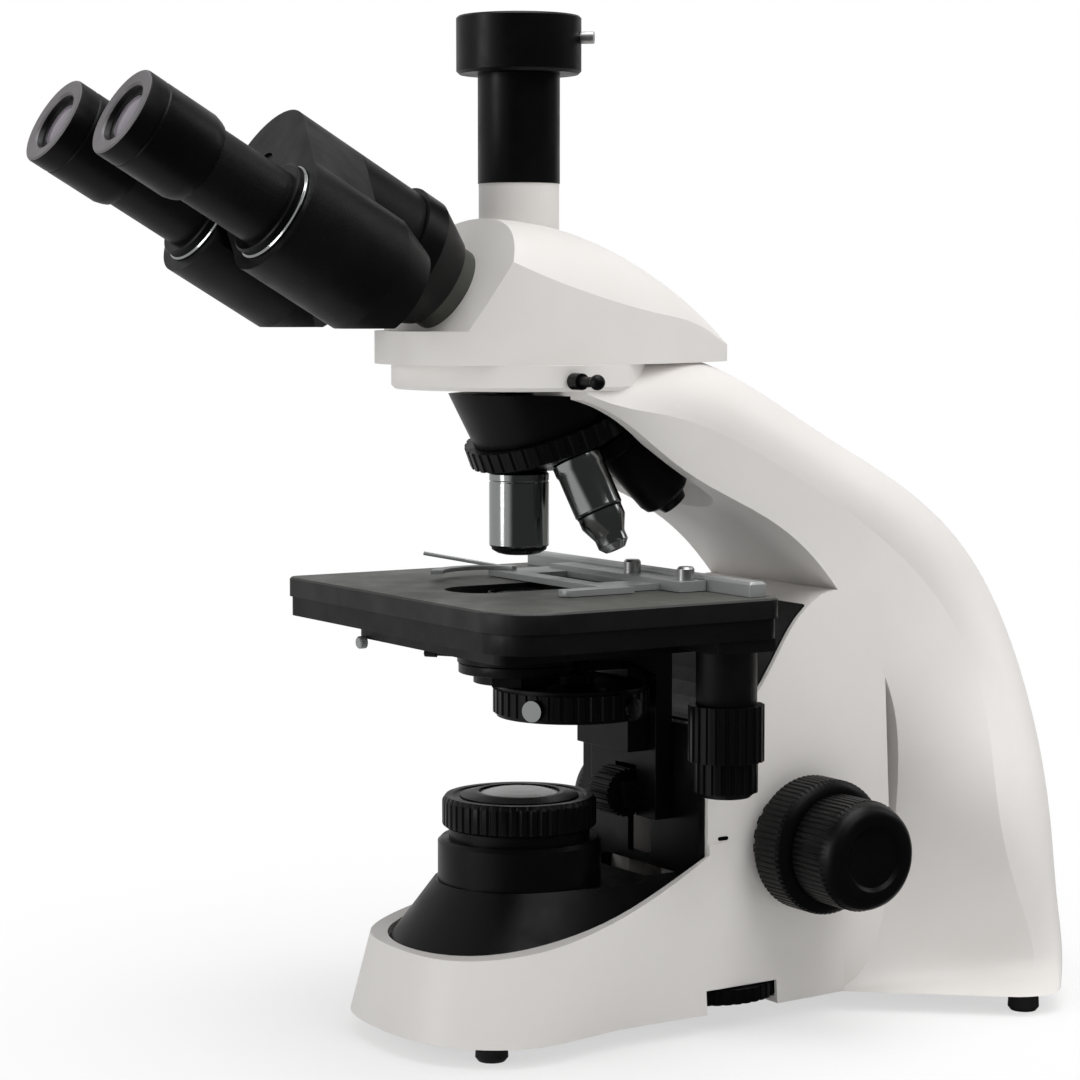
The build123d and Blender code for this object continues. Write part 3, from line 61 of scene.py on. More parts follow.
@dataclass(frozen=True)
class Finish:
    """One finish of the microscope, made from the row frame's own coordinates.

    Attributes:
        name: Name of the material.
        colour: Main colour, linear.
        worn: Colour of the slightly different patches, linear.
        roughness: Mean roughness.
        spread: How far the roughness wanders either side of the mean.
        metallic: 1 for bare metal, 0 for paint and plastic.
        grain: How the surface's unevenness runs.
        grain_mm: Size of one grain in millimetres.
        depth: Strength of the bump.
        coat: Weight of a clear coat.
        mirror: Strength of the mirror-like part of paint and plastic.
        edge: Colour of the faces that don't look up, where they differ; painted shade on the sides and undersides.
    """

    name: str
    colour: Colour
    worn: Colour
    roughness: float
    spread: float = 0.06
    metallic: float = 0.0
    grain: Grain = Grain.SPECKLE
    grain_mm: float = 0.6
    depth: float = 0.05
    coat: float = 0.0
    mirror: float = 0.5
    edge: Colour | None = None

    def build(self) -> bpy.types.Material:
        """Makes the material once and returns it.

        Returns:
            The material with its node tree.
        """
        found = bpy.data.materials.get(self.name)
        if found is not None:
            return found
        material = bpy.data.materials.new(self.name)
        material.use_nodes = True
        tree = material.node_tree
        shader = tree.nodes["Principled BSDF"]
        shader.inputs["Metallic"].default_value = self.metallic
        shader.inputs["Coat Weight"].default_value = self.coat
        shader.inputs["Coat Roughness"].default_value = 0.2
        shader.inputs["Specular IOR Level"].default_value = self.mirror
        place = tree.nodes.new("ShaderNodeTexCoord")
        self._tint(tree, place, shader)
        self._gloss(tree, place, shader)
        self._bump(tree, place, shader)
        return material

    def _noise(self, tree: bpy.types.NodeTree, place: bpy.types.Node, scale: float) -> bpy.types.Node:
        """Adds a noise texture on the object's own coordinates.

        Args:
            tree: The material's node tree.
            place: The texture coordinate node.
            scale: Repeats per metre.

        Returns:
            The noise node.
        """
        noise = tree.nodes.new("ShaderNodeTexNoise")
        noise.inputs["Scale"].default_value = scale
        noise.inputs["Detail"].default_value = 4.0
        tree.links.new(place.outputs["Object"], noise.inputs["Vector"])
        return noise

    def _tint(self, tree: bpy.types.NodeTree, place: bpy.types.Node, shader: bpy.types.Node) -> None:
        """Lets the colour wander softly between the main and the worn one, and where edge is set paints shade on the
        faces that don't look up.

        Args:
            tree: The material's node tree.
            place: The texture coordinate node.
            shader: The principled shader.
        """
        noise = self._noise(tree, place, 26.0)
        ramp = tree.nodes.new("ShaderNodeValToRGB")
        ramp.color_ramp.elements[0].position = 0.35
        ramp.color_ramp.elements[0].color = (*self.colour, 1.0)
        ramp.color_ramp.elements[1].position = 0.75
        ramp.color_ramp.elements[1].color = (*self.worn, 1.0)
        tree.links.new(noise.outputs["Fac"], ramp.inputs["Fac"])
        colour = ramp.outputs["Color"]
        # painted shade: faces that don't look up take the darker edge colour, faces that look up keep the main one
        if self.edge is not None:
            split = tree.nodes.new("ShaderNodeSeparateXYZ")
            tree.links.new(place.outputs["Normal"], split.inputs["Vector"])
            upward = tree.nodes.new("ShaderNodeMapRange")
            upward.inputs["From Min"].default_value = 0.6
            upward.inputs["From Max"].default_value = 0.9
            tree.links.new(split.outputs["Z"], upward.inputs["Value"])
            blend = tree.nodes.new("ShaderNodeMix")
            blend.data_type = "RGBA"
            blend.inputs["A"].default_value = (*self.edge, 1.0)
            tree.links.new(upward.outputs["Result"], blend.inputs["Factor"])
            tree.links.new(colour, blend.inputs["B"])
            colour = blend.outputs["Result"]
        tree.links.new(colour, shader.inputs["Base Color"])

    def _gloss(self, tree: bpy.types.NodeTree, place: bpy.types.Node, shader: bpy.types.Node) -> None:
        """Lets the roughness wander round its mean.

        Args:
            tree: The material's node tree.
            place: The texture coordinate node.
            shader: The principled shader.
        """
        noise = self._noise(tree, place, 75.0)
        span = tree.nodes.new("ShaderNodeMapRange")
        span.inputs["From Min"].default_value = 0.3
        span.inputs["From Max"].default_value = 0.7
        span.inputs["To Min"].default_value = max(0.02, self.roughness - self.spread)
        span.inputs["To Max"].default_value = min(1.0, self.roughness + self.spread)
        tree.links.new(noise.outputs["Fac"], span.inputs["Value"])
        tree.links.new(span.outputs["Result"], shader.inputs["Roughness"])

    def _bump(self, tree: bpy.types.NodeTree, place: bpy.types.Node, shader: bpy.types.Node) -> None:
        """Adds the grain as a bump.

        Args:
            tree: The material's node tree.
            place: The texture coordinate node.
            shader: The principled shader.
        """
        per_metre = 1.0 / (self.grain_mm * MM)
        if self.grain is Grain.PEBBLE:
            source = tree.nodes.new("ShaderNodeTexVoronoi")
            source.feature = "SMOOTH_F1"
            source.inputs["Scale"].default_value = per_metre
            tree.links.new(place.outputs["Object"], source.inputs["Vector"])
            height = source.outputs["Distance"]
        elif self.grain is Grain.TURNED:
            squeeze = tree.nodes.new("ShaderNodeMapping")
            squeeze.inputs["Scale"].default_value = (0.04, 0.04, 1.0)
            tree.links.new(place.outputs["Object"], squeeze.inputs["Vector"])
            source = self._noise(tree, place, per_metre)
            tree.links.new(squeeze.outputs["Vector"], source.inputs["Vector"])
            height = source.outputs["Fac"]
        else:
            height = self._noise(tree, place, per_metre).outputs["Fac"]
        bump = tree.nodes.new("ShaderNodeBump")
        bump.inputs["Strength"].default_value = self.depth
        bump.inputs["Distance"].default_value = 0.0004
        tree.links.new(height, bump.inputs["Height"])
        tree.links.new(bump.outputs["Normal"], shader.inputs["Normal"])


@dataclass(frozen=True)
class LensGlass:
    """Clear or dark optical glass with a faint stain in it."""

    name: str
    colour: Colour
    roughness: float = 0.03
    passes: float = 0.6

    def build(self) -> bpy.types.Material:
        """Makes the glass once and returns it.

        Returns:
            The material with its node tree.
        """
        found = bpy.data.materials.get(self.name)
        if found is not None:
            return found
        material = bpy.data.materials.new(self.name)
        material.use_nodes = True
        tree = material.node_tree
        shader = tree.nodes["Principled BSDF"]
        shader.inputs["Transmission Weight"].default_value = self.passes
        shader.inputs["IOR"].default_value = 1.5
        place = tree.nodes.new("ShaderNodeTexCoord")
        noise = tree.nodes.new("ShaderNodeTexNoise")
        noise.inputs["Scale"].default_value = 120.0
        tree.links.new(place.outputs["Object"], noise.inputs["Vector"])
        ramp = tree.nodes.new("ShaderNodeValToRGB")
        ramp.color_ramp.elements[0].color = (*self.colour, 1.0)
        ramp.color_ramp.elements[1].color = (*(c * 0.85 for c in self.colour), 1.0)
        tree.links.new(noise.outputs["Fac"], ramp.inputs["Fac"])
        tree.links.new(ramp.outputs["Color"], shader.inputs["Base Color"])
        span = tree.nodes.new("ShaderNodeMapRange")
        span.inputs["To Min"].default_value = self.roughness
        span.inputs["To Max"].default_value = self.roughness + 0.03
        tree.links.new(noise.outputs["Fac"], span.inputs["Value"])
        tree.links.new(span.outputs["Result"], shader.inputs["Roughness"])
        return material


WHITE_ENAMEL = Finish(
    "white_enamel", (0.78, 0.755, 0.73), (0.755, 0.728, 0.7), 0.45, 0.05, grain_mm=0.9, depth=0.06, mirror=0.4
)
SATIN_BLACK = Finish("satin_black", (0.002, 0.002, 0.0023), (0.0034, 0.0034, 0.0038), 0.34, 0.07, depth=0.1, mirror=0.16)
CRINKLE_BLACK = Finish(
    "crinkle_black", (0.0028, 0.0028, 0.003), (0.005, 0.005, 0.0055), 0.42, 0.08,
    grain=Grain.PEBBLE, grain_mm=0.5, depth=0.2, mirror=0.2,
)
# its edge colour is painted shade: the stage's sides and undersides are darker than its top
STAGE_COAT = Finish(
    "stage_coat", (0.075, 0.076, 0.068), (0.095, 0.096, 0.087), 0.5, 0.08,
    grain=Grain.PEBBLE, grain_mm=0.4, depth=0.12, mirror=0.4, edge=(0.004, 0.004, 0.0045),
)
OLIVE_GRAY = Finish("olive_gray", (0.055, 0.058, 0.05), (0.068, 0.07, 0.062), 0.42, 0.06, depth=0.08, mirror=0.35)
MOULDED_BLACK = Finish(
    "moulded_black", (0.0018, 0.0018, 0.002), (0.003, 0.003, 0.0034), 0.36, 0.08, depth=0.12, mirror=0.16
)
BRUSHED_STEEL = Finish(
    "brushed_steel", (0.5, 0.5, 0.5), (0.42, 0.42, 0.42), 0.34, 0.08, 1.0, Grain.TURNED, 0.25, 0.12
)
BRIGHT_CHROME = Finish(
    "bright_chrome", (0.4, 0.41, 0.41), (0.33, 0.34, 0.34), 0.12, 0.04, 1.0, Grain.TURNED, 0.3, 0.05
)
DULL_BRASS = Finish("dull_brass", (0.5, 0.38, 0.17), (0.42, 0.31, 0.14), 0.34, 0.08, 1.0, Grain.TURNED, 0.3, 0.1)
BARE_ALUMINIUM = Finish("bare_aluminium", (0.55, 0.55, 0.56), (0.48, 0.48, 0.49), 0.42, 0.08, 1.0, grain_mm=0.5, depth=0.1)
MATT_CHROME = Finish("matt_chrome", (0.42, 0.43, 0.43), (0.36, 0.37, 0.37), 0.38, 0.08, 0.45, grain_mm=0.5, depth=0.08)
BLACK_RUBBER = Finish(
    "black_rubber", (0.008, 0.008, 0.008), (0.014, 0.014, 0.014), 0.8, 0.08, grain_mm=0.7, depth=0.25, mirror=0.3
)
# grey face ring of the eyepieces: painted light on their black plastic face, lit from the front
EYE_RIM_PAINTED_LIGHT = Finish("eye_rim", (0.1, 0.094, 0.098), (0.13, 0.122, 0.128), 0.38, 0.08, grain_mm=0.5, depth=0.1)
DARK_LENS = LensGlass("dark_lens", (0.02, 0.022, 0.03), 0.04, 0.1)
COATED_LENS = LensGlass("coated_lens", (0.26, 0.225, 0.27), 0.12, 0.1)
CLEAR_GLASS = LensGlass("clear_glass", (0.8, 0.86, 0.86))
# pale, nearly opaque field lens: painted reflection of the bright condenser above it
FIELD_GLASS_PAINTED_REFLECTION = LensGlass("field_glass", (0.86, 0.87, 0.85), 0.2, 0.05)

NODE_FINISHES: dict[str, Finish | LensGlass] = {
    "stand_casting": WHITE_ENAMEL,
    "head_housing": WHITE_ENAMEL,
    "base_plate": CRINKLE_BLACK,
    "base_plate_screws": BRUSHED_STEEL,
    "rubber_feet": BLACK_RUBBER,
    "deck_cover": SATIN_BLACK,
    "column_cover": SATIN_BLACK,
    "illuminator_housing": SATIN_BLACK,
    "lamp_lenses": FIELD_GLASS_PAINTED_REFLECTION,
    "lamp_module": BARE_ALUMINIUM,
    "power_inlet": MOULDED_BLACK,
    "power_switch": MOULDED_BLACK,
    "brightness_wheel": MOULDED_BLACK,
    "field_ring": MOULDED_BLACK,
    "focus_bushes": DULL_BRASS,
    "nosepiece_mount": SATIN_BLACK,
    "coarse_shaft": BRUSHED_STEEL,
    "fine_shaft": BRUSHED_STEEL,
    "coarse_knobs": MOULDED_BLACK,
    "fine_knobs": MOULDED_BLACK,
    "tension_ring": MOULDED_BLACK,
    "focus_slide": SATIN_BLACK,
    "stage_bracket": SATIN_BLACK,
    "stage_lower_plate": CRINKLE_BLACK,
    "condenser_knob": MOULDED_BLACK,
    "condenser_carrier": SATIN_BLACK,
    "condenser_body": SATIN_BLACK,
    "condenser_lens": CLEAR_GLASS,
    "iris_lever": SATIN_BLACK,
    "phase_turret": SATIN_BLACK,
    "annulus_stops": BRUSHED_STEEL,
    "turret_screws": BRIGHT_CHROME,
    "stage_top_plate": STAGE_COAT,
    "stage_frame": CRINKLE_BLACK,
    "slide_guide": MATT_CHROME,
    "drive_housing": CRINKLE_BLACK,
    "stage_y_knob": MOULDED_BLACK,
    "stage_x_knob": MOULDED_BLACK,
    "slide_carriage": MATT_CHROME,
    "holder_screws": BRUSHED_STEEL,
    "slide_finger": MATT_CHROME,
    "nosepiece_turret": SATIN_BLACK,
    "objective_low": BRIGHT_CHROME,
    "objective_medium": BRIGHT_CHROME,
    "objective_high": BRIGHT_CHROME,
    "objective_immersion": SATIN_BLACK,
    "objective_scan": SATIN_BLACK,
    "beam_prism": CLEAR_GLASS,
    "pivot_boss": OLIVE_GRAY,
    "pivot_hub": SATIN_BLACK,
    "photo_tube": SATIN_BLACK,
    "tube_collar": MOULDED_BLACK,
    "collar_screw": BRUSHED_STEEL,
    "head_lock_screw": MOULDED_BLACK,
    "right_prism_housing": CRINKLE_BLACK,
    "left_prism_housing": CRINKLE_BLACK,
    "right_tube_ring": BRUSHED_STEEL,
    "left_tube_ring": BRUSHED_STEEL,
    "right_eyepiece": MOULDED_BLACK,
    "left_eyepiece": MOULDED_BLACK,
}


@dataclass(frozen=True)
class Turn:
    """One corner of a turned outline, in millimetres.

    Attributes:
        radius: Distance from the axis.
        along: Distance along the axis.
        band: Index of the finish of the band that starts here.
        flute: Depth of the flutes at this corner.
    """

    radius: float
    along: float
    band: int = 0
    flute: float = 0.0


@dataclass(frozen=True)
class Spindle:
    """An axis in the row frame, in metres, on which pieces are turned."""

    origin: Vector
    axis: Vector

    def place(self) -> Matrix:
        """Returns the matrix that takes +Z at the world's origin to this axis."""
        turn = self.axis.to_track_quat("Z", "Y").to_matrix().to_4x4()
        return Matrix.Translation(self.origin) @ turn


@dataclass
class Lathe:
    """Turns outlines into smooth meshes with small edge radii."""

    segments: int = 96
    flutes: int = 0
    edge_mm: float = 0.22
    edge_deg: float = 28.0

    def ring(self, shape: bmesh.types.BMesh, turn: Turn, place: Matrix) -> list[bmesh.types.BMVert]:
        """Adds the vertices of one corner of the outline.

        Args:
            shape: The mesh being made.
            turn: The corner.
            place: Matrix of the spindle.

        Returns:
            One vertex on the axis, or a full ring.
        """
        if turn.radius < 1e-6:
            return [shape.verts.new(place @ Vector((0.0, 0.0, turn.along * MM)))]
        count = self.segments if not self.flutes else self.flutes * 6
        made = []
        for index in range(count):
            angle = math.tau * index / count
            dip = turn.flute if self.flutes and index % 6 in (4, 5) else 0.0
            reach = (turn.radius - dip) * MM
            local = Vector((reach * math.cos(angle), reach * math.sin(angle), turn.along * MM))
            made.append(shape.verts.new(place @ local))
        return made

    def piece(self, name: str, outline: list[Turn], spindle: Spindle, finishes: list[Finish | LensGlass]) -> bpy.types.Object:
        """Turns one outline into a finished object.

        Args:
            name: Name of the object.
            outline: Corners in order, outside first.
            spindle: The axis it is turned on.
            finishes: Finishes of the bands.

        Returns:
            The object, already linked and dressed.
        """
        shape = bmesh.new()
        place = spindle.place()
        rings = [self.ring(shape, turn, place) for turn in outline]
        for low, high, turn in zip(rings, rings[1:], outline):
            count = max(len(low), len(high))
            for index in range(count):
                after = (index + 1) % count
                corners = [low[index % len(low)], low[after % len(low)], high[after % len(high)], high[index % len(high)]]
                unique = list(dict.fromkeys(corners))
                if len(unique) > 2:
                    face = shape.faces.new(unique)
                    face.material_index = turn.band
        bmesh.ops.recalc_face_normals(shape, faces=shape.faces)
        mesh = bpy.data.meshes.new(name)
        shape.to_mesh(mesh)
        shape.free()
        mesh.shade_smooth()
        mesh.set_sharp_from_angle(angle=math.radians(self.edge_deg))
        for finish in finishes:
            mesh.materials.append(finish.build())
        made = bpy.data.objects.new(name, mesh)
        bpy.context.scene.collection.objects.link(made)
        if self.edge_mm > 0.0:
            soften(made, self.edge_mm, self.edge_deg)
        log.info("turned %s", name)
        return made


def solid(name: str, shape: bmesh.types.BMesh, finish: Finish) -> bpy.types.Object:
    """Turns a closed shape into an object with outward faces.

    Args:
        name: Name of the object.
        shape: The closed shape, which is freed.
        finish: Its finish.

    Returns:
        The object.
    """
    bmesh.ops.recalc_face_normals(shape, faces=shape.faces)
    mesh = bpy.data.meshes.new(name)
    shape.to_mesh(mesh)
    shape.free()
    mesh.materials.append(finish.build())
    made = bpy.data.objects.new(name, mesh)
    bpy.context.scene.collection.objects.link(made)
    log.info("built %s", name)
    return made


def soften(piece: bpy.types.Object, width_mm: float, angle_deg: float) -> None:
    """Rounds the sharp edges of a piece with a small bevel.

    Args:
        piece: The object.
        width_mm: Width of the bevel in millimetres.
        angle_deg: Edges sharper than this are rounded.
    """
    bevel = piece.modifiers.new("edge_radius", "BEVEL")
    bevel.width = width_mm * MM
    bevel.segments = 2
    bevel.limit_method = "ANGLE"
    bevel.angle_limit = math.radians(angle_deg)
    bevel.harden_normals = True
    bevel.use_clamp_overlap = True


@dataclass(frozen=True)
class Barrel:
    """One objective: the node it stands for, its seat on the revolver and its outline."""

    node: str
    seat: int
    slot_name: str
    finishes: tuple[Finish | LensGlass, ...]
    outline: tuple[Turn, ...]


@dataclass
class ObjectiveSet:
    """The five objectives on the revolver."""

    apex_m: tuple[float, float, float] = (0.0, 0.0, 0.285)
    tilt_deg: float = 22.0
    shoulder_mm: float = 58.6
    count: int = 5
    flutes: int = 48

    def spindle(self, seat: int) -> Spindle:
        """Axis of one objective, from its seat towards the slide.

        Args:
            seat: Number of the seat; 0 is in the light path.

        Returns:
            The axis.
        """
        angle = math.tau / self.count * seat
        lean = math.sin(math.radians(self.tilt_deg))
        level = math.cos(math.radians(self.tilt_deg))
        axis = Vector(
            (
                lean * math.sin(angle),
                lean * level * (1.0 - math.cos(angle)),
                -(level * level + lean * lean * math.cos(angle)),
            )
        )
        return Spindle(Vector(self.apex_m) + axis * self.shoulder_mm * MM, axis)

    def barrels(self) -> list[Barrel]:
        """Returns the outlines of the five objectives."""
        bright = (BRIGHT_CHROME, SATIN_BLACK, DARK_LENS)
        black = (SATIN_BLACK, BRIGHT_CHROME, DARK_LENS)
        return [
            Barrel(
                "objective_medium",
                0,
                "chromed",
                bright,
                (
                    Turn(9.0, 0.2, 1), Turn(11.6, 0.2), Turn(12.0, 0.7), Turn(12.0, 3.2), Turn(11.7, 3.4), Turn(11.7, 3.8),
                    Turn(12.0, 4.0), Turn(12.0, 29.2), Turn(11.6, 29.8, 1), Turn(11.2, 29.8, 1), Turn(11.0, 31.0, 1),
                    Turn(8.6, 32.4, 1), Turn(6.2, 33.0, 1), Turn(5.2, 33.0, 1), Turn(4.6, 32.2, 2), Turn(0.0, 31.9),
                ),
            ),
            Barrel(
                "objective_high",
                1,
                "chromed",
                bright,
                (
                    Turn(8.0, 0.2, 1), Turn(10.4, 0.2), Turn(10.4, 4.0), Turn(9.9, 5.0), Turn(9.9, 21.9), Turn(9.4, 22.5, 1),
                    Turn(9.2, 23.4), Turn(9.2, 27.0), Turn(6.6, 32.6), Turn(6.3, 33.4), Turn(6.3, 36.8), Turn(4.1, 39.3),
                    Turn(2.4, 39.3, 1), Turn(2.0, 39.0, 2), Turn(0.0, 38.9),
                ),
            ),
            Barrel(
                "objective_immersion",
                2,
                "black_paint",
                black,
                (
                    Turn(8.0, 0.2), Turn(11.4, 0.2), Turn(11.5, 0.6), Turn(11.5, 6.0), Turn(11.2, 6.2), Turn(11.2, 6.8),
                    Turn(11.5, 7.0), Turn(11.5, 30.4), Turn(10.6, 33.4), Turn(9.0, 34.6), Turn(6.6, 35.4),
                    Turn(5.6, 38.4), Turn(2.0, 38.6), Turn(1.6, 38.3, 2), Turn(0.0, 38.2),
                ),
            ),
            Barrel(
                "objective_low",
                3,
                "chromed",
                bright,
                (
                    Turn(8.0, 0.2, 1), Turn(10.6, 0.2), Turn(10.6, 10.0), Turn(8.5, 11.9), Turn(8.4, 12.4), Turn(8.4, 21.8),
                    Turn(7.3, 23.9), Turn(6.0, 24.0, 1), Turn(5.4, 23.2, 2), Turn(0.0, 22.9),
                ),
            ),
            Barrel(
                "objective_scan",
                4,
                "black_paint",
                black,
                (
                    Turn(8.0, 0.2), Turn(10.4, 0.2), Turn(10.4, 15.0), Turn(8.9, 16.8), Turn(8.8, 17.4), Turn(8.8, 27.0),
                    Turn(6.1, 31.8, 1), Turn(5.1, 36.3, 1), Turn(3.0, 36.5, 0), Turn(2.6, 36.1, 2), Turn(0.0, 36.0),
                ),
            ),
        ]

    def build(self) -> None:
        """Turns every objective and puts it on the revolver."""
        for barrel in self.barrels():
            made = Lathe().piece(
                f"{barrel.node}_barrel", list(barrel.outline), self.spindle(barrel.seat), list(barrel.finishes)
            )
            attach(made, "nosepiece")
            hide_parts(barrel.node)


@dataclass
class Eyepieces:
    """The two eyepieces, which look along the inclined axes."""

    face_m: tuple[float, float, float] = (0.0, -0.1845, 0.36201)
    incline_deg: float = 30.0
    half_spacing_mm: float = 31.0
    rim_mm: float = 17.5
    length_mm: float = 33.0

    def spindle(self, side: int) -> Spindle:
        """Axis of one eyepiece, from its face into the head.

        Args:
            side: 1 for the user's right, -1 for the left.

        Returns:
            The axis.
        """
        lean = math.radians(self.incline_deg)
        face = Vector(self.face_m) + Vector((side * self.half_spacing_mm * MM, 0.0, 0.0))
        return Spindle(face, Vector((0.0, math.cos(lean), -math.sin(lean))))

    def outline(self) -> list[Turn]:
        """Returns the outline from the lens over the rim and back along the barrel to the sleeve."""
        rim = self.rim_mm
        end = self.length_mm
        return [
            Turn(0.0, 2.4, 2), Turn(5.0, 2.7, 2), Turn(8.6, 3.6, 1), Turn(9.0, 3.0, 1), Turn(10.6, 3.0, 1),
            Turn(11.4, 1.2, 3), Turn(12.4, 0.4, 3), Turn(rim - 1.0, 0.05, 3), Turn(rim - 0.2, 0.5), Turn(rim, 1.2),
            Turn(rim, 8.0), Turn(rim - 0.35, 8.3), Turn(rim - 0.35, 8.9), Turn(rim, 9.2), Turn(rim, end - 3.0),
            Turn(rim - 0.8, end), Turn(rim - 1.5, end + 1.6), Turn(11.7, end + 1.6), Turn(11.55, end + 4.0),
        ]

    def build(self) -> None:
        """Turns both eyepieces."""
        for side, name in ((1, "right_eyepiece"), (-1, "left_eyepiece")):
            # band 3, the face ring, takes the grey rim finish: painted light on its black face
            made = Lathe(segments=128).piece(
                f"{name}_shell", self.outline(), self.spindle(side), [MOULDED_BLACK, SATIN_BLACK, COATED_LENS, EYE_RIM_PAINTED_LIGHT]
            )
            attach(made, name)
            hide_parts(name)


@dataclass
class TubeRings:
    """Black rings round the eyepiece tubes, with a thin bright chamfer where they meet the housings."""

    seat_m: tuple[float, float, float] = (0.0, -0.1845, 0.36201)
    incline_deg: float = 30.0
    half_spacing_mm: float = 31.0
    tube_mm: float = 15.05
    ring_mm: float = 19.5
    low_mm: float = 65.7
    thick_mm: float = 4.0

    def build(self) -> None:
        """Turns both rings."""
        lean = math.radians(self.incline_deg)
        axis = Vector((0.0, math.cos(lean), -math.sin(lean)))
        low = self.low_mm
        edge = self.ring_mm
        outline = [
            Turn(self.tube_mm, low), Turn(edge - 1.6, low), Turn(edge - 0.8, low + 0.5), Turn(edge - 0.8, low + 2.6),
            Turn(edge - 0.7, low + 3.0, 1), Turn(edge, low + 3.5, 1), Turn(edge, low + self.thick_mm),
            Turn(self.tube_mm, low + self.thick_mm),
        ]
        for side, hand, body in ((1, "right", "right_wing"), (-1, "left", "diopter")):
            seat = Vector(self.seat_m) + Vector((side * self.half_spacing_mm * MM, 0.0, 0.0))
            made = Lathe(segments=128, edge_mm=0.1).piece(
                f"{hand}_ring_band", outline, Spindle(seat, axis), [MOULDED_BLACK, BRIGHT_CHROME]
            )
            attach(made, body)
            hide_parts(f"{hand}_tube_ring")


@dataclass
class LightSource:
    """Field ring on top of the built-in lamp, with the sizes of the field lens."""

    ring_mm: float = 31.2
    ring_low_mm: float = 83.3
    ring_top_mm: float = 96.0
    lens_mm: float = 16.35
    lens_top_mm: float = 98.5
    flutes: int = 48

    def build(self) -> None:
        """Turns the ring."""
        spindle = Spindle(Vector((0.0, 0.0, 0.0)), Vector((0.0, 0.0, 1.0)))
        low = self.ring_low_mm
        top = self.ring_top_mm
        edge = self.ring_mm
        ring = Lathe(flutes=self.flutes, edge_mm=0.15).piece(
            "field_ring_grip",
            [
                Turn(24.1, low), Turn(edge - 1.4, low), Turn(edge - 0.2, low + 0.9, 0, 0.5), Turn(edge, low + 1.4, 0, 0.7),
                Turn(edge, top - 2.2, 0, 0.7), Turn(edge - 0.2, top - 1.7, 0, 0.5), Turn(edge - 1.4, top), Turn(27.0, top),
                Turn(26.6, top - 0.6), Turn(24.1, top - 0.6),
            ],
            spindle,
            [MOULDED_BLACK],
        )
        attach(ring, "field_ring")
        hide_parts("field_ring")


@dataclass
class FocusKnobs:
    """Coarse and fine focus knobs on both sides of the column."""

    centre_m: tuple[float, float, float] = (0.0, 0.107, 0.074)
    start_mm: float = 49.8
    coarse_mm: float = 27.6
    fine_mm: float = 22.4
    coarse_length_mm: float = 19.4
    fine_length_mm: float = 26.0

    def coarse(self) -> list[Turn]:
        """Returns the outline of a coarse knob, from the column outwards."""
        start = self.start_mm
        edge = self.coarse_mm
        end = start + self.coarse_length_mm
        return [
            Turn(7.1, start), Turn(edge - 3.6, start), Turn(edge - 2.6, start + 0.8), Turn(edge - 0.8, start + 1.4),
            Turn(edge, start + 2.4, 0, 0.45), Turn(edge, end - 3.2, 0, 0.45), Turn(edge - 0.8, end - 1.9),
            Turn(edge - 2.4, end - 0.7), Turn(edge - 4.2, end - 0.1), Turn(edge - 5.0, end), Turn(7.1, end),
        ]

    def fine(self) -> list[Turn]:
        """Returns the outline of a fine knob, from the coarse knob outwards."""
        start = self.start_mm + self.coarse_length_mm + 0.6
        edge = self.fine_mm
        end = start + self.fine_length_mm
        return [
            Turn(3.6, start), Turn(edge - 0.8, start), Turn(edge, start + 0.8, 0, 0.4), Turn(edge, end - 7.4, 0, 0.4),
            Turn(edge - 0.6, end - 6.4), Turn(edge - 1.0, end - 4.4), Turn(edge - 2.0, end - 2.2),
            Turn(edge - 3.8, end - 0.6), Turn(edge - 6.0, end), Turn(edge - 9.0, end - 0.2),
            Turn(edge - 10.6, end - 1.5), Turn(0.0, end - 1.5),
        ]

    def build(self) -> None:
        """Turns the knobs of both sides."""
        for side, hand in ((1.0, "right"), (-1.0, "left")):
            spindle = Spindle(Vector(self.centre_m), Vector((side, 0.0, 0.0)))
            coarse = Lathe(flutes=72, edge_mm=0.12).piece(f"{hand}_coarse_knob", self.coarse(), spindle, [MOULDED_BLACK])
            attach(coarse, "coarse")
            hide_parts("coarse_knobs")
            fine = Lathe(flutes=60, edge_mm=0.12).piece(f"{hand}_fine_knob", self.fine(), spindle, [MOULDED_BLACK])
            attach(fine, "fine")
            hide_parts("fine_knobs")


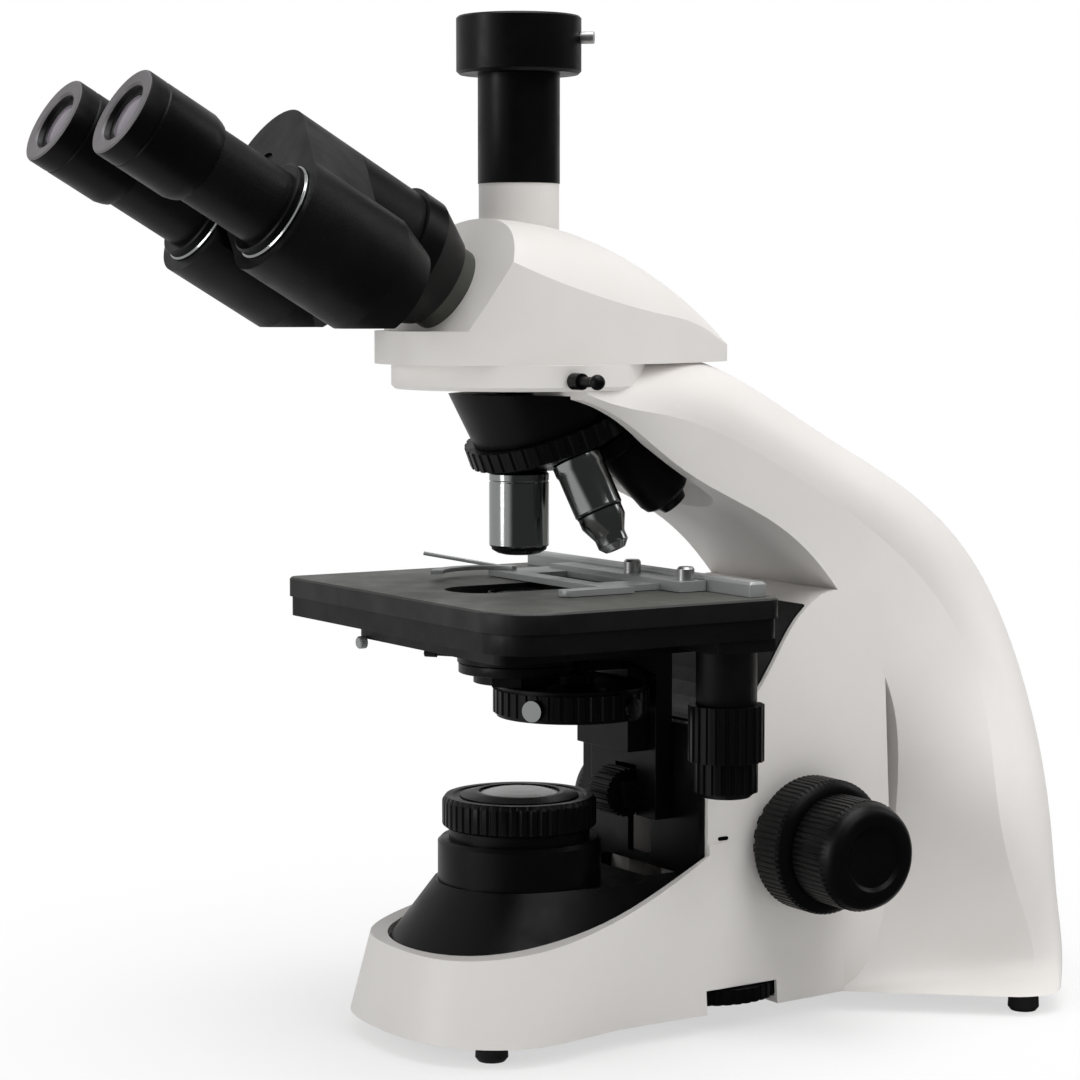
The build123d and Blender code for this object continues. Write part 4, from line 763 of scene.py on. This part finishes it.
@dataclass
class ColumnTrim:
    """Black lining of the recess over the column cover, and the dark slot plate beside the focus knobs, painted shade
    of the slot's opening.
    """

    half_mm: float = 43.0
    gap_mm: float = 0.15
    thick_mm: float = 1.0
    recess: tuple[tuple[float, float], ...] = (
        (62.0, 124.3), (69.0, 124.5), (71.5, 126.0), (75.9, 128.0), (79.1, 130.0), (84.7, 135.0), (88.7, 140.0),
        (95.3, 150.0), (101.7, 160.0), (105.7, 165.0), (111.0, 170.0),
    )
    slot_m: tuple[float, float, float] = (0.045, 0.069, 0.078)

    def sheet(self) -> list[tuple[float, float]]:
        """Returns the outline of the lining in the y and z of millimetres, front path out and back path home."""
        front = []
        back = []
        last = len(self.recess) - 1
        for index, (y, z) in enumerate(self.recess):
            before = Vector(self.recess[max(0, index - 1)])
            after = Vector(self.recess[min(last, index + 1)])
            along = (after - before).normalized()
            out = Vector((-along.y, along.x))
            front.append(tuple(Vector((y, z)) + out * (self.gap_mm + self.thick_mm)))
            back.append(tuple(Vector((y, z)) + out * self.gap_mm))
        return front + back[::-1]

    def lining(self) -> bpy.types.Object:
        """Extrudes the sheet across the column.

        Returns:
            The lining.
        """
        shape = bmesh.new()
        outline = self.sheet()
        sides = []
        for x in (-self.half_mm, self.half_mm):
            sides.append([shape.verts.new((x * MM, y * MM, z * MM)) for y, z in outline])
        count = len(outline)
        for index in range(count):
            after = (index + 1) % count
            shape.faces.new([sides[0][index], sides[0][after], sides[1][after], sides[1][index]])
        half = count // 2
        for side in sides:
            for index in range(half - 1):
                shape.faces.new([side[index], side[index + 1], side[count - 2 - index], side[count - 1 - index]])
        return solid("recess_lining", shape, CRINKLE_BLACK)

    def slot(self) -> bpy.types.Object:
        """Makes the small dark slot plate, a flat bar with round ends, as painted shade inside the slot.

        Returns:
            The plate.
        """
        shape = bmesh.new()
        rim = []
        for step in range(24):
            angle = 2.0 * math.pi * step / 24
            reach = 1.7 if math.cos(angle) > 0.0 else -1.7
            rim.append((reach + 0.8 * math.cos(angle), 0.8 * math.sin(angle)))
        rings = []
        for x in (-0.1, 0.25):
            rings.append([
                shape.verts.new((self.slot_m[0] + x * MM, self.slot_m[1] + y * MM, self.slot_m[2] + z * MM))
                for y, z in rim
            ])
        count = len(rim)
        for index in range(count):
            after = (index + 1) % count
            shape.faces.new([rings[0][index], rings[0][after], rings[1][after], rings[1][index]])
        for ring in rings:
            shape.faces.new(ring)
        # black plate: painted shade inside the slot
        return solid("column_slot", shape, SATIN_BLACK)

    def build(self) -> None:
        """Makes both pieces on the stand."""
        for made in (self.lining(), self.slot()):
            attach(made, "stand")


@dataclass
class ClampScrews:
    """Knurled screw head on the front of the fixed stage plate."""

    seat_m: tuple[float, float, float] = (-0.056, -0.04, 0.1546)
    head_mm: float = 2.6
    length_mm: float = 3.4

    def build(self) -> None:
        """Turns the screw head."""
        edge = self.head_mm
        end = self.length_mm
        made = Lathe(flutes=18, edge_mm=0.1).piece(
            "plate_screw",
            [
                Turn(0.0, 0.05), Turn(edge, 0.05), Turn(edge, 0.6, 0, 0.15), Turn(edge, end - 0.6, 0, 0.15),
                Turn(edge - 0.5, end), Turn(0.0, end),
            ],
            Spindle(Vector(self.seat_m), Vector((0.0, -1.0, 0.0))),
            [MATT_CHROME],
        )
        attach(made, "lift")


@dataclass
class PackedSolids:
    """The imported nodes, which keep their shapes and get their finishes."""

    finishes: dict[str, Finish | LensGlass]

    rounded: tuple[str, ...] = (
        "stage_top_plate", "stage_frame", "stage_lower_plate", "drive_housing", "condenser_carrier", "stage_bracket",
        "slide_carriage", "slide_guide", "slide_finger", "base_plate", "power_switch",
    )

    def dress(self) -> None:
        """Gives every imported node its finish, and the plates and blocks soft edges."""
        for name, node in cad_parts.items():
            finish = self.finishes[name]
            node.data.materials.clear()
            node.data.materials.append(finish.build())
            log.info("dressed %s as %s", name, finish.name)
        for name in self.rounded:
            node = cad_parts[name]
            weld = node.modifiers.new("weld", "WELD")
            weld.merge_threshold = 0.001 * MM
            soften(node, 0.35, 40.0)


@dataclass
class Studio:
    """Plain pale floor, soft light and the camera at the photograph's angle."""

    camera_at: tuple[float, float, float] = (0.9882, -0.6076, 0.297)
    azimuth_deg: float = 32.0
    pitch_deg: float = 4.829
    lens_mm: float = 96.67
    sensor_mm: float = 36.0
    floor_radius: float = 6.0
    world_strength: float = 0.4
    mirror_low: float = 0.05
    mirror_high: float = 0.6
    dark_side: tuple[float, float, float] = (0.956, 0.292, 0.0)

    def camera(self) -> None:
        """Makes the scene's camera."""
        data = bpy.data.cameras.new("camera")
        data.lens = self.lens_mm
        data.sensor_width = self.sensor_mm
        data.clip_start = 0.05
        data.clip_end = 50.0
        camera = bpy.data.objects.new("camera", data)
        bpy.context.scene.collection.objects.link(camera)
        turn = math.radians(self.azimuth_deg)
        pitch = math.radians(self.pitch_deg)
        look = Vector((-math.cos(turn) * math.cos(pitch), math.sin(turn) * math.cos(pitch), -math.sin(pitch)))
        camera.location = self.camera_at
        camera.rotation_mode = "QUATERNION"
        camera.rotation_quaternion = look.to_track_quat("-Z", "Y")
        bpy.context.scene.camera = camera

    def lamp(self, name: str, at: Colour, size: tuple[float, float], watts: float) -> None:
        """Adds one soft lamp that looks at the middle of the microscope.

        Args:
            name: Name of the lamp.
            at: Its place in metres.
            size: Width and height in metres.
            watts: Its power.
        """
        data = bpy.data.lights.new(name, "AREA")
        data.shape = "RECTANGLE"
        data.size = size[0]
        data.size_y = size[1]
        data.energy = watts
        lamp = bpy.data.objects.new(name, data)
        bpy.context.scene.collection.objects.link(lamp)
        lamp.location = at
        aim = Vector((0.0, 0.06, 0.2)) - Vector(at)
        lamp.rotation_mode = "QUATERNION"
        lamp.rotation_quaternion = aim.to_track_quat("-Z", "Y")

    def lamps(self) -> None:
        """Adds the lamps."""
        self.lamp("top_lamp", (0.2, 0.1, 2.3), (1.8, 1.8), 36.0)
        self.lamp("right_lamp", (1.9, 0.3, 2.1), (1.3, 1.3), 14.0)
        self.lamp("left_lamp", (-0.4, -2.3, 0.6), (0.6, 1.2), 11.0)
        self.lamp("back_lamp", (0.6, 2.2, 1.5), (1.0, 1.4), 7.0)

    def world(self) -> None:
        """Lights the scene evenly, shows white behind it and gives mirrors a darker room."""
        world = bpy.data.worlds.new("studio")
        world.use_nodes = True
        tree = world.node_tree
        background = tree.nodes["Background"]
        path = tree.nodes.new("ShaderNodeLightPath")
        place = tree.nodes.new("ShaderNodeTexCoord")
        room = self._room(tree, place.outputs["Generated"])
        soft = self._blend(tree, path.outputs["Is Glossy Ray"], self.world_strength, room)
        level = self._blend(tree, self._seen(tree, path), soft, 1.0)
        background.inputs["Color"].default_value = (1.0, 1.0, 1.0, 1.0)
        tree.links.new(level, background.inputs["Strength"])
        bpy.context.scene.world = world

    def _room(self, tree: bpy.types.NodeTree, way: bpy.types.NodeSocket) -> bpy.types.NodeSocket:
        """Tells how bright a mirror sees the room: dark on the right-hand side, light elsewhere.

        Args:
            tree: The node tree to build in.
            way: Socket with the direction, of any length.

        Returns:
            The socket with the level.
        """
        unit = tree.nodes.new("ShaderNodeVectorMath")
        unit.operation = "NORMALIZE"
        tree.links.new(way, unit.inputs[0])
        turned = tree.nodes.new("ShaderNodeVectorMath")
        turned.operation = "DOT_PRODUCT"
        turned.inputs[1].default_value = self.dark_side
        tree.links.new(unit.outputs["Vector"], turned.inputs[0])
        level = tree.nodes.new("ShaderNodeMapRange")
        level.interpolation_type = "SMOOTHSTEP"
        level.inputs["From Min"].default_value = -0.1
        level.inputs["From Max"].default_value = 0.3
        level.inputs["To Min"].default_value = self.mirror_high
        level.inputs["To Max"].default_value = self.mirror_low
        tree.links.new(turned.outputs["Value"], level.inputs["Value"])
        return level.outputs["Result"]

    def _blend(
        self,
        tree: bpy.types.NodeTree,
        share: bpy.types.NodeSocket,
        low: bpy.types.NodeSocket | float,
        high: bpy.types.NodeSocket | float,
    ) -> bpy.types.NodeSocket:
        """Blends two levels by a share.

        Args:
            tree: The node tree to build in.
            share: Socket with the share of the second level.
            low: Level at share 0, a number or a socket.
            high: Level at share 1, a number or a socket.

        Returns:
            The socket with the blended level.
        """
        blend = tree.nodes.new("ShaderNodeMapRange")
        tree.links.new(share, blend.inputs["Value"])
        for name, level in (("To Min", low), ("To Max", high)):
            if isinstance(level, float):
                blend.inputs[name].default_value = level
            else:
                tree.links.new(level, blend.inputs[name])
        return blend.outputs["Result"]

    def _seen(self, tree: bpy.types.NodeTree, path: bpy.types.Node) -> bpy.types.NodeSocket:
        """Joins the ray kinds that show the white background.

        Args:
            tree: The node tree to build in.
            path: Its light path node.

        Returns:
            A socket that is 1 for camera and transmission rays.
        """
        either = tree.nodes.new("ShaderNodeMath")
        either.operation = "MAXIMUM"
        tree.links.new(path.outputs["Is Camera Ray"], either.inputs[0])
        tree.links.new(path.outputs["Is Transmission Ray"], either.inputs[1])
        return either.outputs["Value"]

    def floor(self) -> None:
        """Lays a pale round floor that keeps the soft shadow near the feet, is white further out and glows for mirrors
        at the room's level, a painted reflection.
        """
        mesh = bpy.data.meshes.new("floor")
        shape = bmesh.new()
        bmesh.ops.create_circle(shape, cap_ends=True, segments=96, radius=self.floor_radius)
        shape.to_mesh(mesh)
        shape.free()
        floor = bpy.data.objects.new("floor", mesh)
        bpy.context.scene.collection.objects.link(floor)
        floor.location = (0.0, 0.08, -0.0002)
        material = bpy.data.materials.new("pale_floor")
        material.use_nodes = True
        tree = material.node_tree
        paint = tree.nodes["Principled BSDF"]
        paint.inputs["Base Color"].default_value = (0.84, 0.84, 0.84, 1.0)
        paint.inputs["Roughness"].default_value = 0.9
        glow = tree.nodes.new("ShaderNodeEmission")
        glow.inputs["Color"].default_value = (1.0, 1.0, 1.0, 1.0)
        place = tree.nodes.new("ShaderNodeTexCoord")
        length = tree.nodes.new("ShaderNodeVectorMath")
        length.operation = "LENGTH"
        tree.links.new(place.outputs["Object"], length.inputs[0])
        reach = tree.nodes.new("ShaderNodeMapRange")
        reach.interpolation_type = "SMOOTHSTEP"
        reach.inputs["From Min"].default_value = 0.12
        reach.inputs["From Max"].default_value = 0.4
        reach.inputs["To Min"].default_value = 0.6
        tree.links.new(length.outputs["Value"], reach.inputs["Value"])
        path = tree.nodes.new("ShaderNodeLightPath")
        both = tree.nodes.new("ShaderNodeMath")
        both.operation = "MULTIPLY"
        tree.links.new(reach.outputs["Result"], both.inputs[0])
        tree.links.new(self._seen(tree, path), both.inputs[1])
        blend = tree.nodes.new("ShaderNodeMixShader")
        tree.links.new(both.outputs["Value"], blend.inputs["Fac"])
        tree.links.new(paint.outputs["BSDF"], blend.inputs[1])
        tree.links.new(glow.outputs["Emission"], blend.inputs[2])
        # painted reflection: mirrors see the floor glow at the room's level, not its lit paint
        mirrored = tree.nodes.new("ShaderNodeEmission")
        tree.links.new(self._room(tree, place.outputs["Object"]), mirrored.inputs["Strength"])
        surface = tree.nodes.new("ShaderNodeMixShader")
        tree.links.new(path.outputs["Is Glossy Ray"], surface.inputs["Fac"])
        tree.links.new(blend.outputs["Shader"], surface.inputs[1])
        tree.links.new(mirrored.outputs["Emission"], surface.inputs[2])
        tree.links.new(surface.outputs["Shader"], tree.nodes["Material Output"].inputs["Surface"])
        mesh.materials.append(material)

    def build(self) -> None:
        """Builds the floor, the light and the camera."""
        self.camera()
        self.floor()
        self.world()
        self.lamps()
        bpy.context.scene.view_settings.view_transform = "Standard"
        log.info("studio built")


def corners(pair: tuple[Vector, Vector]) -> list[list[float]]:
    """Turns two corners into plain lists.

    Args:
        pair: Lowest and highest corner.

    Returns:
        The same numbers as lists.
    """
    return [list(pair[0]), list(pair[1])]


def main() -> None:
    """Builds every class in order."""
    logging.basicConfig(level=logging.INFO, format="%(name)s: %(message)s")
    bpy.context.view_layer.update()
    Studio().build()
    PackedSolids(NODE_FINISHES).dress()
    ObjectiveSet().build()
    Eyepieces().build()
    TubeRings().build()
    LightSource().build()
    FocusKnobs().build()
    ColumnTrim().build()
    ClampScrews().build()


if __name__ == "__main__":
    main()
